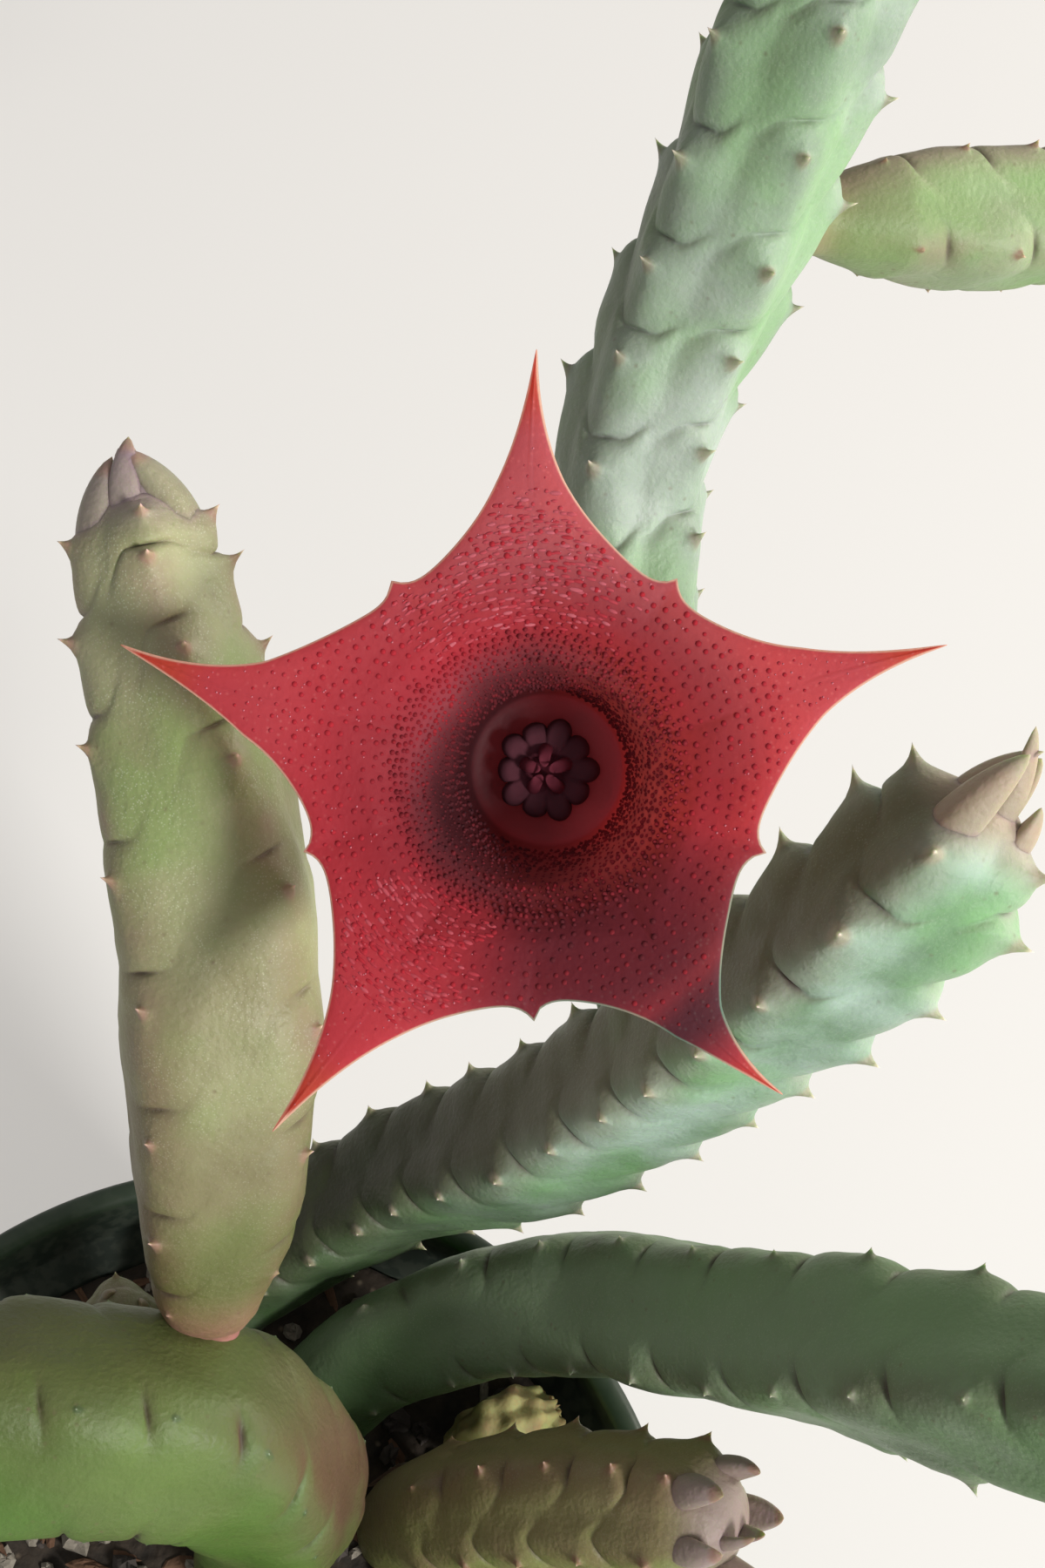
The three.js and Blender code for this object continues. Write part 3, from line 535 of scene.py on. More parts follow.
# %% The spine of a stem
class Spine:
    """The centre line of a stem, with its radius and frame at any distance, in millimetres."""

    samples = 60  # between two points of the route

    def __init__(self, route):
        """A curve through the route's points, with knots spaced by the root of their distances."""
        points = np.array(route, float)
        centre = points[:, :3]
        before = np.vstack([2 * centre[0] - centre[1], centre[:-1]])
        after = np.vstack([centre[1:], 2 * centre[-1] - centre[-2]])
        beyond = np.vstack([after[1:], after[-1:]])
        pieces = []
        for p0, p1, p2, p3 in list(zip(before, centre, after, beyond))[:-1]:
            d0, d1, d2 = (math.sqrt(np.linalg.norm(b - a)) for a, b in ((p0, p1), (p1, p2), (p2, p3)))
            leave = ((p1 - p0) / d0 - (p2 - p0) / (d0 + d1) + (p2 - p1) / d1) * d1
            arrive = ((p2 - p1) / d1 - (p3 - p1) / (d1 + d2) + (p3 - p2) / d2) * d1
            t = np.linspace(0, 1, self.samples, endpoint=False)[:, None]
            bend = (2 * p1 - 2 * p2 + leave + arrive) * t**3 + (3 * p2 - 3 * p1 - 2 * leave - arrive) * t**2
            pieces.append(bend + leave * t + p1)
        self.line = np.vstack([*pieces, centre[-1:]])
        steps = np.linalg.norm(np.diff(self.line, axis=0), axis=1)
        self.reach = np.concatenate([[0], np.cumsum(steps)])
        self.length = self.reach[-1]
        self.tangent = np.gradient(self.line, self.reach, axis=0)
        places = np.arange(len(self.line)) / self.samples
        self.radius = np.interp(places, np.arange(len(points)), points[:, 3])

    def at(self, distance):
        """Centre, radius, and the aside, along and facing directions."""
        pick = lambda values: np.stack([np.interp(distance, self.reach, values[:, k]) for k in range(3)], -1)
        along = pick(self.tangent)
        along /= np.linalg.norm(along, axis=-1, keepdims=True)
        facing = towards_viewer - along * (along @ towards_viewer)[..., None]
        facing /= np.linalg.norm(facing, axis=-1, keepdims=True)
        radius = np.interp(distance, self.reach, self.radius)
        return pick(self.line), radius, np.cross(along, facing), along, facing


lengths = {name: round(float(Spine(route).length), 1) for name, route in routes.items()}
print("stem lengths in mm:", lengths)

# %% [markdown]
# The relief of the skin is a formula of two numbers: how far a point is along its tubercle, and how
# far it is across from the rib's line. From a short crease the flesh swells up to the tooth, a horn
# whose sides fall away like a decaying curve, and then drops to the next crease. The grid is not
# even: its columns crowd towards each rib's line and its rows towards each tooth and crease, so that
# the points are where the shape is.

# %% Relief of a stem
tooth_at = 0.73  # of the pitch, as in the solids, counted from the crease
fade_in = 1.2  # pitches over which the tubercles grow in at the foot
tip_round = 3.4  # length of the rounded end, mm
near_tip = 0.8  # below the tip, mm: the last tubercle ends here, and the crown is rooted here
rows_per_pitch = 26
columns_per_rib = 26
foot_rows, tip_rows = 10, 9


def crowded(count, spots, width=0.05, strength=8.0):
    """count places from 0 to 1 that crowd round the spots, with the first spot hit exactly."""
    fine = np.linspace(0, 1, 2001)
    density = np.ones_like(fine)
    for spot in spots:
        gap = np.abs(fine - spot)
        density += strength * np.exp(-((np.minimum(gap, 1 - gap) / width) ** 2))
    total = np.cumsum(density)
    places = np.interp(np.arange(count) / count, (total - total[0]) / (total[-1] - total[0]), fine)
    places[np.argmin(np.abs(places - spots[0]))] = spots[0]
    return places


def along_line(distance, table):
    """The value at a distance, from a table of distances and values."""
    return np.interp(distance, *zip(*table))


def relief(u, w, pitch, spike, body):
    """Height in mm, and the tooth and crease masks. u is along from the tooth, w across, in mm."""
    wide = 0.3 + 0.42 * spike
    reach = np.where(u > 0, 0.33, 0.62) * wide  # a tooth is steeper on the side towards the tip
    tooth = np.exp(-np.sqrt((u / reach) ** 2 + (w / (0.42 * wide)) ** 2))
    line = u - (1 - tooth_at) * pitch - 0.2 * w
    cut = np.exp(-((line / 0.15) ** 2) - (w / 0.95) ** 2)
    hollow = np.exp(-((line / 0.5) ** 2) - (w / 2.0) ** 2)
    t = np.mod(line / pitch, 1.0)
    rise = np.sin(math.pi / 2 * np.minimum(t / tooth_at, 1)) ** 0.75
    fall = 1 - (np.maximum(t - tooth_at, 0) / (1 - tooth_at)) ** 2.5
    swell = np.minimum(rise, fall) * np.exp(-((w / 2.6) ** 2))
    height = spike * tooth + body * (swell - 0.5) - 0.2 * cut - 0.12 * hollow
    # the crease mask spreads faintly over the hollow round the crease, where its dark colour is painted shade
    return height, tooth, np.clip(cut + 0.16 * hollow, 0, 1)


row_places = crowded(rows_per_pitch, (tooth_at, 0.0))
print("closest rows, as a share of the pitch:", round(float(np.diff(np.sort(row_places)).min()), 4))


# %% The grid of a stem
def grid_steps(count):
    """A row's place in tubercles: from -1 at the foot, over 0 and count, to count + 1 at the tip."""
    foot = np.linspace(-1, 0, foot_rows, endpoint=False)
    steps = (np.arange(count)[:, None] + row_places).ravel()
    return np.concatenate([foot, steps, np.linspace(count, count + 1, tip_rows)])


def grid_columns(ribs):
    """A column's place across its rib, from -1 to 1, and the number of the rib."""
    even = np.linspace(-1, 1, columns_per_rib, endpoint=False)
    across = np.tile(np.sign(even) * np.abs(even) ** 1.7, ribs)
    return across, np.repeat(np.arange(ribs), columns_per_rib)


def tooth_lag(lags, v, k):
    """How much later the teeth come at v across rib k. In the furrow two ribs' lags meet halfway."""
    lag = np.array(lags)
    neighbour = (k + np.sign(v).astype(int)) % len(lags)
    share = 0.5 * blend(0.35, 1.0, np.abs(v))
    return lag[k] * (1 - share) + lag[neighbour] * share


def stem_grid(route, ribs, guide, teeth, spike, body, lags, seed, bare=0.0):
    """Points of a stem's skin in metres, the layers that its material reads, and the spine."""
    spine = Spine(route)
    draw = np.random.default_rng(seed)
    count = len(teeth)
    start = max(bare, teeth[0] - tooth_at * (teeth[1] - teeth[0]))
    knots = [-1, 0, *(tooth_at + np.arange(count)), count, count + 1]
    places = [0, start, *teeth, spine.length - near_tip, spine.length - 0.02]
    across, rib = grid_columns(ribs)
    step, column = np.meshgrid(grid_steps(count), np.arange(len(across)), indexing="ij")
    v, k = across[column], rib[column]
    slide = np.clip(np.minimum(step, count - step) / fade_in, 0, 1)
    distance = np.interp(step + tooth_lag(lags, v, k) * slide, knots, places)
    pitch = (np.interp(step + 0.05, knots, places) - np.interp(step - 0.05, knots, places)) / 0.1
    pitch = np.minimum(pitch, 1.2 * np.median(np.diff(teeth)))
    centre, radius, aside, along, facing = spine.at(distance)
    angle = np.radians(along_line(distance, guide) + (k + v / 2) * 360 / ribs)
    outward = aside * np.sin(angle)[..., None] + facing * np.cos(angle)[..., None]

    number = np.clip(np.round(step - tooth_at), 0, count - 1).astype(int)
    from_tooth = (step - tooth_at - number) * pitch
    across_mm = v * math.pi * radius / ribs
    horn = along_line(distance, spike) * draw.uniform(0.8, 1.15, (ribs, count))[k, number]
    marked = draw.uniform(0.35, 1.0, (ribs, count))[k, number]  # how dark each crease is
    height, tooth, crease = relief(from_tooth, across_mm, pitch, horn, along_line(distance, body))
    grow = np.clip(step / fade_in, 0, 1) * blend(count + 0.1, count - 0.2, step)
    square = radius * np.cos(math.pi * v) / ribs**2  # the ribs are the corners of the section
    skin_point = centre + radius[..., None] * outward
    lumps = 0.16 * waves(skin_point, 9.0, seed + 50) + 0.05 * waves(skin_point, 2.6, seed + 51)
    past = np.clip(distance - spine.length + tip_round, 0, None) / tip_round
    dome = np.sqrt(np.clip(1 - past**2, 0, 1))
    skin = (radius + grow * (height + square) + lumps) * np.maximum(dome, 0.03)
    lean = 0.5 * horn * tooth**1.2 * grow  # the teeth point towards the tip
    points = centre + outward * skin[..., None] + along * lean[..., None]
    values = {
        "tooth": tooth * grow,
        "crease": crease * marked * grow,
        "along": distance / spine.length,
        "rib": np.exp(-((across_mm / 1.5) ** 2)) * np.clip(step, 0, 1),
        "young": blend(spine.length - 3.0, spine.length, distance),
    }
    return points * mm, values, spine


# %% [markdown]
# Each tip carries a crown of young tubercles that have not spread yet. They are small flattened
# spindles, plump below and drawn out to a point, rooted a little below the tip and standing nearly
# along the stem. The two tips that the picture shows best and the small shoot have lists of their own,
# and the rest share a rule.

# %% Crown of a stem's tip
def young_tubercle(spine, angle, place, sink, tilt, length, width):
    """A spindle on the tip. tilt is 0 outward and 90 along the stem, in degrees."""
    centre, _, aside, along, facing = spine.at(np.array(spine.length - near_tip))
    outward = aside * math.sin(angle) + facing * math.cos(angle)
    beside = np.cross(along, outward)
    t = np.linspace(0, 1, 20)[:, None]
    turn = np.linspace(0, 2 * math.pi, 18, endpoint=False)[None, :]
    lean = np.radians(tilt + 18 * t - 9)
    heading = outward * np.cos(lean)[..., None] + along * np.sin(lean)[..., None]
    thick = np.cross(beside, heading)
    half = width * (1 - t) ** 0.7 * (1 + 0.75 * t) + 0.04 * (1 - t)
    keel = 1 + 0.25 * np.cos(turn) + 0.1 * np.cos(3 * turn)
    flattened = 0.66 * half * keel
    ring = beside * (half * np.sin(turn))[..., None] + thick * (flattened * np.cos(turn))[..., None]
    path = centre + outward * place - along * sink + heading * (length * t)[..., None]
    return (path + ring) * mm, t


# For each circle: share of the tip's radius, depth below the tip, tilt, length and half width
crown_circles = ((0.75, 2.0, 74, 4.2, 1.25), (0.3, 1.4, 84, 4.0, 0.8))


def common_crown(ribs, first, edge, draw):
    """Angle, place, sink, tilt, length and half width of each young tubercle: two circles by rule."""
    rows = []
    for circle, (place, sink, tilt, length, width) in enumerate(crown_circles):
        for rib in range(ribs if circle == 0 else 2):
            angle = first + math.degrees((rib + 0.5 * circle) * 2 * math.pi / ribs)
            rows.append((
                angle + draw.uniform(-7, 7), edge * place, sink, tilt + draw.uniform(-5, 5),
                length * draw.uniform(0.9, 1.1), width * draw.uniform(0.9, 1.1),
            ))
    return rows


def add_crown(shape, spine, ribs, guide, crown, seed):
    """Adds the tubercles of a stem's own list, or of the common rule where it has none."""
    draw = np.random.default_rng(seed)
    edge = float(spine.at(np.array(spine.length))[1])
    rows = crown or common_crown(ribs, float(along_line(spine.length, guide)), edge, draw)
    for angle, place, sink, tilt, length, width in rows:
        points, t = young_tubercle(spine, math.radians(angle), place, sink, tilt, length, width)
        fresh = np.clip(1.5 - 0.55 * width, 0.0, 0.7) + 0.5 * t
        shape.add_rings(points, young=fresh, along=1.0, tooth=np.clip((t - 0.75) / 0.25, 0, 1) * 0.7)


def make_stem(name, material, slot, node, settings, crown=None):
    """settings are those of stem_grid."""
    shape = Shape("tooth", "crease", "along", "young", "rib", "bend")
    points, values, spine = stem_grid(**settings)
    values["bend"] = blend(1.5, 7.5, points[..., 0] / mm)  # 1 where the low left stem bends over
    shape.add_rings(points, **values)
    add_crown(shape, spine, settings["ribs"], settings["guide"], crown, settings["seed"] + 90)
    finish_piece(shape.object(name, material), slot, node)


# %% [markdown]
# What sets the stems apart is a handful of numbers, read from the picture: where the first rib turns
# to along the stem, where its teeth stand, how much later each next rib's teeth come, and how tall
# the teeth and the swellings are. On most stems with four ribs, opposite ones nearly keep step and
# their neighbours come about halfway between.

# %% Lags and crowns
rooted = 12.0  # the bare foot that stands in the soil, mm
four_lags = (0.0, 0.5, 0.08, 0.56)  # of the pitch, for each rib
five_lags = (0.0, 0.4, 0.8, 0.2, 0.6)

# angle, distance from the axis, depth below the tip, tilt, length and half width
left_crown = [
    (-82, 2.0, 4.0, 88, 6.6, 1.9), (-120, 0.9, 2.4, 92, 5.4, 1.2), (-35, 0.9, 1.8, 88, 5.4, 1.3),
    (128, 1.5, 3.4, 102, 6.8, 2.9), (30, 0.6, 1.6, 92, 4.6, 1.3), (110, 1.6, 2.4, 76, 3.6, 1.2),
]
right_crown = [
    (-30, 2.3, 3.4, 86, 7.8, 1.5), (-110, 1.5, 2.6, 92, 7.2, 1.2), (70, 0.5, 2.0, 96, 7.4, 1.2),
    (165, 1.6, 2.6, 90, 6.6, 1.3), (85, 1.8, 2.6, 80, 4.6, 1.3),
]
shoot_crown = [
    (0, 1.0, 1.8, 70, 2.8, 1.2), (120, 1.0, 1.8, 74, 2.8, 1.1), (240, 1.0, 1.8, 72, 2.6, 1.1),
]
print("young tubercles:", len(left_crown), len(right_crown), len(shoot_crown))


# %% Settings of each stem
def evenly(first, pitch, end):
    """Distances of a rib's teeth, at one pitch."""
    return list(np.arange(first, end, pitch))


low_left_teeth = [19, 25.4, 31.8, 38, 43.4, 47.7, 52.2, 56.7, 62.5, *evenly(68.9, 6.4, 98)]
low_left = dict(
    route=routes["low_left"], ribs=4, guide=[(0, 22)], lags=four_lags, bare=rooted, spike=[(0, 0.15)],
    teeth=low_left_teeth, body=[(0, 0.2)], seed=11,
)
left = dict(
    route=routes["left"], ribs=4, guide=[(0, -26), (28, -30), (53, -80)], lags=(0.0, 0.8, 0.55, 0.3),
    teeth=[7.3, 13.6, 20.9, 28.3, 36.5, 44.0, 50.0, 54.8], spike=[(0, 0.7), (35, 0.9), (46, 1.0)],
    body=[(0, 0.2), (35, 0.25), (46, 0.28)], seed=12,
)
right = dict(
    route=routes["right"], ribs=4, guide=[(0, 20), (40, 10), (60, -2), (101, -17)],
    teeth=evenly(21.4, 6.4, 99), lags=(0.0, 0.65, 0.5, 0.5), bare=rooted,
    spike=[(0, 0.8), (75, 1.0), (90, 1.25), (101, 1.3)], body=[(0, 0.3), (75, 0.6), (92, 0.9)], seed=13,
)
low = dict(
    route=routes["low"], ribs=4, guide=[(0, 40), (45, 30), (60, 20), (90, -20)], teeth=evenly(20, 7.5, 90),
    lags=four_lags, bare=rooted, spike=[(0, 0.7), (60, 0.8), (90, 1.0)], body=[(0, 0.2), (90, 0.45)], seed=14,
)
front = dict(
    route=routes["front"], ribs=5, guide=[(0, 20)], teeth=evenly(20, 6.0, 50), lags=five_lags, bare=rooted,
    spike=[(0, 0.8)], body=[(0, 0.3)], seed=15,
)
back = dict(
    route=routes["back"], ribs=5, guide=[(0, -10), (45, -27), (84, -66)], teeth=evenly(11.5, 7.2, 82),
    lags=five_lags, spike=[(0, 1.15)], body=[(0, 0.6)], seed=16,
)
side = dict(
    route=routes["side"], ribs=4, guide=[(0, -48)], teeth=evenly(7.5, 5.6, 34), lags=four_lags,
    spike=[(0, 0.6)], body=[(0, 0.25)], seed=17,
)
shoot = dict(
    route=routes["shoot"], ribs=4, guide=[(0, 30)], teeth=evenly(17, 4.2, 30), lags=four_lags, bare=rooted,
    spike=[(0, 0.5)], body=[(0, 0.4)], seed=18,
)
print("teeth on a rib of the right stem:", len(right["teeth"]))

# %% The stems
make_stem("stem_low_left_skin", pale_skin, "stem_olive", "stem_left", low_left)
make_stem("stem_left_skin", olive_skin, "stem_olive", "stem_left", left, left_crown)
make_stem("stem_right_skin", green_skin, "stem_green", "stem_right", right, right_crown)
make_stem("stem_back_skin", back_skin, "stem_green", "stem_right", back)
make_stem("stem_side_skin", side_skin, "stem_green", "stem_right", side)
make_stem("stem_low_skin", dark_skin, "stem_dark", "stem_low", low)
make_stem("stem_front_skin", brown_skin, "stem_brown", "stem_front", front)
make_stem("shoot_small_skin", shoot_skin, "stem_olive", "shoot_small", shoot, shoot_crown)

# %% [markdown]
# The flower is a star of five lobes joined by a web, round a cup. Its outline is one formula: a web
# radius, a lobe that narrows like a decaying curve to a long tip, and a small point between the
# lobes. No two lobes are quite alike, so each has a reach of its own and is turned and bent a little.
# The face is one grid from the middle of the cup up its wall, over the lip and on to the margin, and
# back underneath. It opens like a shallow dish, the lobes bend back, and the web has faint folds.

# %% Shape of the flower
flower_place = Vector((23.6, 26.6, 132.9)) * mm
flower_turn = Matrix.Rotation(math.radians(34.8), 4, "X") @ Matrix.Rotation(math.radians(-5), 4, "Y")
flower_frame = Matrix.Translation(flower_place) @ flower_turn
lobes = 5
web_radius, lobe_spread, lobe_power = 10.0, 6.97, 0.54
lobe_reach = np.array([13.4, 14.4, 15.0, 12.05, 13.6])  # how far each lobe is drawn out past the web
lobe_turn = np.array([0.67, 2.84, 0.56, -2.76, 1.41])  # degrees that each lobe is turned
lobe_bend = np.array([-1.16, -2.21, -0.81, 6.6, -1.54])  # degrees more towards its tip
cusp_reach, cusp_spread = 1.25, 3.7
bend_from = 12.0  # the lobes turn and bend past this radius
throat_radius, lip_depth = 7.2, 0.6
opening, droop, droop_from, roll_back = 0.2, 0.017, 10.5, 0.2
fold_depth, fold_width = 0.3, 0.9
curl_height, curl_width = 0.22, 0.3  # how far the very margin curls back
cup_floor, cup_underside = -9.0, -9.9  # heights
half_lobe = 180 / lobes


def margin(from_lobe, lobe):
    """Distance from the axis to the margin, at degrees from the middle line of a lobe."""
    blunted = np.sqrt(from_lobe**2 + 0.18**2)
    drawn_out = lobe_reach[lobe] * np.exp(-((blunted / lobe_spread) ** lobe_power))
    return web_radius + drawn_out + cusp_reach * np.exp(-(half_lobe - from_lobe) / cusp_spread)


def lobe_shift(radius, lobe):
    """Degrees by which the lobe's middle line is off its even place, at a radius."""
    bent = lobe_bend[lobe] * (np.maximum(radius - bend_from, 0) / 10) ** 1.5
    return bent + lobe_turn[lobe] * np.clip((radius - bend_from) / 3, 0, 1)


def margin_gap(radius, from_lobe, lobe):
    """About how far inside the margin a point lies, in mm."""
    step = 0.1  # degrees
    slope = margin(from_lobe + step, lobe) - margin(np.maximum(from_lobe - step, 0), lobe)
    slope = slope / math.radians(2 * step)
    return (margin(from_lobe, lobe) - radius) / np.sqrt(1 + (slope / np.maximum(radius, 1)) ** 2)


def face_height(radius, from_lobe, lobe):
    """Height of the open face at a radius past the throat."""
    opened = np.clip((radius - throat_radius) / (margin(from_lobe, lobe) - throat_radius), 0, 1)
    fall = droop * np.maximum(radius - droop_from, 0) ** 2 - opening * (radius - throat_radius)
    lip = lip_depth * np.maximum(0, 1 - opened / 0.3) ** 1.5
    roll = roll_back * opened * from_lobe / half_lobe
    curl = curl_height * np.exp(-np.maximum(margin_gap(radius, from_lobe, lobe), 0) / curl_width)
    from_fold = radius * np.sin(np.radians(half_lobe - from_lobe))
    fold = fold_depth * np.exp(-from_fold / fold_width) * blend(8.0, 11.5, radius)
    return -fall - lip - roll - curl - fold


# Radius and height of the cup's wall, from the edge of its floor to the lip, and of its outside
cup_wall = np.array([(3.7, cup_floor), (4.15, -8.75), (4.45, -7.8), (5.1, -4.5), (6.0, -1.95), (7.2, -0.6)])
cup_outside = [
    (0.05, cup_underside), (3.6, cup_underside), (4.6, -9.2), (5.3, -7.6), (6.1, -4.2), (7.3, -1.45),
]


def smooth_profile(points, count):
    """count points evenly along a smooth curve through a few."""
    line = Spine([(x, 0, y, 1) for x, y in points])
    at = line.at(np.linspace(0, line.length, count))[0]
    return at[:, [0, 2]]


def to_world(points):
    """From the flower's own frame, in mm, to the model's, in metres."""
    matrix = np.array(flower_frame)
    return (points * mm) @ matrix[:3, :3].T + matrix[:3, 3]


def to_flower(points):
    """From the model's frame, in metres, to the flower's own, in mm."""
    matrix = np.array(flower_frame.inverted())
    return points @ matrix[:3, :3].T / mm + matrix[:3, 3] / mm


print("lobe tips, mm from the flower's axis:", np.round(margin(0.0, np.arange(lobes)), 1))

# %% [markdown]
# A petal of this flower is thin and full of red sap, so much of its colour is light that comes
# through it: a principled surface is mixed with a translucent one. Light crosses two surfaces on its
# way, so the underside lets most of it in, and the face colours it. Deep in the cup the skin is
# nearly black, partly its own colour and partly painted shade. Where a stem or the pot is close
# behind, the petal is dark, because no light comes through: the layer `behind` marks those places.

# %% Colour of a petal's face
floor_edge = (4.3, 4.05)  # radii where the wall's colour ends and the cup's floor begins


def face_colour(tree, reach, halo):
    """Red, dull pink on the lobes with painted sheen, warm at their tips, nearly black round the throat from
    its own colour and painted shade, with pale flecks that also paint sparkle.
    """
    vein_cloud = use(tree, mottle, "Mask", Scale=160, Contrast=0.2, Seed=21)
    red = tint(tree, vein_cloud, (0.46, 0.022, 0.052), (0.54, 0.03, 0.06))
    # the layer dust marks a duller pink that is partly painted sheen
    dull_and_sheen_red = tint(tree, layer(tree, "dust"), red, (0.4, 0.115, 0.15))
    ember = tint(tree, ramp(tree, reach, 17.0, 20.0), dull_and_sheen_red, (0.45, 0.07, 0.045))
    throat_dark_shaded = tint(tree, halo, ember, (0.075, 0.02, 0.027))
    # painted shade: the foot of the wall, deep in the cup, goes nearly black
    foot_mask = times(tree, ramp(tree, reach, 5.0, 4.4), ramp(tree, halo, 0.7, 0.95))
    throat_dark_shaded = tint(tree, scaled(tree, foot_mask, 0.8), throat_dark_shaded, (0.02, 0.007, 0.01))
    # the cup's floor is nearly black where the dark ring is strong and pale red where it is faint, which
    # paints its shade
    floor_colour = tint(tree, ramp(tree, halo, 0.5, 1.0), (0.62, 0.11, 0.135), (0.05, 0.018, 0.023))
    colour = tint(tree, ramp(tree, reach, *floor_edge), throat_dark_shaded, floor_colour)
    # pale flecks over the lobes, which also paint their fine sparkle highlights
    fleck_sparkle = use(tree, speckle, "Mask", Scale=2600, Size=0.32, Seed=22)
    fleck_sparkle_mask = scaled(tree, times(tree, fleck_sparkle, ramp(tree, reach, 9.0, 13.0)), 0.45)
    return tint(tree, fleck_sparkle_mask, colour, (0.75, 0.24, 0.25))


# %% Colour of the light through a petal
def glow_colour(tree, reach, halo, behind):
    """Warm on the open face, deeper in the cup, darker in the painted shade round the throat, and dark where
    something stands close behind.
    """
    depth = layer(tree, "depth")
    glow = tint(tree, ramp(tree, depth, 0.1, 1.0), (0.84, 0.1, 0.075), (0.65, 0.035, 0.035))
    glow = tint(tree, scaled(tree, halo, 0.9), glow, (0.09, 0.014, 0.022))
    glow = tint(tree, ramp(tree, reach, *floor_edge), glow, (0.3, 0.025, 0.04))
    return tint(tree, behind, glow, (0.16, 0.26, 0.26), "MULTIPLY")


# %% Petal material
def petal_material():
    material, tree, petal = new_material("petal_skin")
    reach, halo, behind, under = (layer(tree, name) for name in ("reach", "halo", "behind", "under"))
    spots = use(tree, mottle, "Mask", Scale=700, Contrast=0.08, Seed=23)
    underside = tint(tree, scaled(tree, spots, 0.5), (0.55, 0.4, 0.28), (0.4, 0.12, 0.1))
    colour = tint(tree, under, face_colour(tree, reach, halo), underside)
    rim_mask = ramp(tree, layer(tree, "edge"), 0.4, 0.75)
    colour = tint(tree, rim_mask, colour, (0.75, 0.6, 0.45))
    colour = tint(tree, ramp(tree, reach, 21.2, 22.2), colour, (0.75, 0.58, 0.42))
    colour = tint(tree, behind, colour, (0.24, 0.55, 0.55), "MULTIPLY")
    join(tree, colour, petal.inputs["Base Color"])
    gloss = use(tree, mottle, "Mask", Scale=900, Contrast=0.3, Seed=24)
    join(tree, scaled(tree, gloss, 0.15, 0.55), petal.inputs["Roughness"])
    height = use(tree, grain, "Height", Scale=3200, Coarse_Share=0.4, Seed=25)
    bump(tree, petal, height, 0.1 * mm, 0.8)
    petal.inputs["Specular IOR Level"].default_value = 0.25
    glow = tint(tree, under, glow_colour(tree, reach, halo, behind), (0.95, 0.75, 0.65))
    let_light_through(tree, petal, scaled(tree, under, 0.25, 0.52), glow)
    print("petal skin:", len(tree.nodes), "nodes")
    return material


petal_skin = petal_material()

# %% Grid of the petal star
columns_per_lobe = 88
face_rows, wall_rows, floor_rows = 66, 26, 8
under_rows, outside_rows = 40, 22
margin_thick, added_thick = 0.22, 0.58  # 0.8 mm in all, away from the margin


def star_columns():
    """Position of each column: the lobe it belongs to, its side, and its share of the way to the web."""
    column = np.arange(lobes * columns_per_lobe)
    lobe = np.round(column / columns_per_lobe)
    part = (column - lobe * columns_per_lobe) / (columns_per_lobe / 2)
    return lobe, np.sign(part), np.abs(part)


def star_rows(opened, thick):
    """Rows from the throat (0) to the margin (1), of the open face (thick 0) or its underside (1)."""
    lobe, sign, even = star_columns()
    which = lobe.astype(int) % lobes
    o = opened[:, None]
    from_lobe = half_lobe * (even * (1 - o) + even**2 * o)
    radius = throat_radius + (margin(half_lobe * even**2, which) - throat_radius) * o
    angle = np.radians(90 + lobe * 360 / lobes + sign * from_lobe + lobe_shift(radius, which))
    gap = margin_gap(radius, from_lobe, which)
    thickness = margin_thick + added_thick * blend(0.0, 1.2, gap)
    height = face_height(radius, from_lobe, which) - thick * thickness
    points = np.stack([radius * np.cos(angle), radius * np.sin(angle), height], -1)
    return points, radius, gap


def round_rows(profile):
    """Rows of the cup, which is round."""
    lobe, sign, even = star_columns()
    angle = np.radians(90 + lobe * 360 / lobes + sign * half_lobe * even)
    radius = profile[:, :1]
    height = np.broadcast_to(profile[:, 1:], (len(profile), len(angle)))
    return np.stack([radius * np.cos(angle), radius * np.sin(angle), height], -1)


print("columns round the star:", len(star_columns()[0]))

# %% [markdown]
# The flower's colours change from place to place, so the mesh carries them as masks. A dark ring
# surrounds the throat, wide below and to the left, and faint on the right: partly the throat's own
# colour and partly painted shade. The lobes and the foot of the top one are a duller pink, partly
# painted sheen. A third mask says where a stem, the pot or the flower's own thick cup keeps the light
# from coming through.

# %% Masks of the flower
# How far from the axis the dark ring reaches at each angle, in mm, and how dark it is there: its own colour
# with painted shade, strongest below and to the left
halo_angle = (0, 45, 90, 115, 140, 165, 190, 215, 240, 270, 300, 330, 360)
halo_reach = (5.4, 5.8, 6.6, 6.0, 5.0, 5.8, 7.0, 7.4, 7.4, 7.2, 6.4, 5.4, 5.4)
halo_depth = (0.45, 0.5, 0.85, 0.95, 1.0, 1.0, 1.0, 1.0, 0.9, 0.78, 0.62, 0.45, 0.45)


def polar(points):
    """Distance from the flower's axis, and degrees round it."""
    turn = np.degrees(np.arctan2(points[..., 1], points[..., 0]))
    return np.hypot(points[..., 0], points[..., 1]), np.mod(turn, 360)


def throat_halo(points):
    """1 where the throat is nearly black, from its own colour and from painted shade."""
    reach, turn = polar(points)
    edge = np.interp(turn, halo_angle, halo_reach) + 0.2 * waves(points, 3.0, 45)
    inner = np.maximum(edge - 2.2, 4.1)
    ring = np.interp(turn, halo_angle, halo_depth) * (1 - blend(inner, edge + 1.8, reach))
    # a wide, faint painted shade towards the lower left
    smoky_painted_shade = 0.32 * (1 - blend(6.5, 13.0, reach)) * blend(-0.2, 0.8, np.cos(np.radians(turn - 225)))
    return np.maximum(ring, smoky_painted_shade)


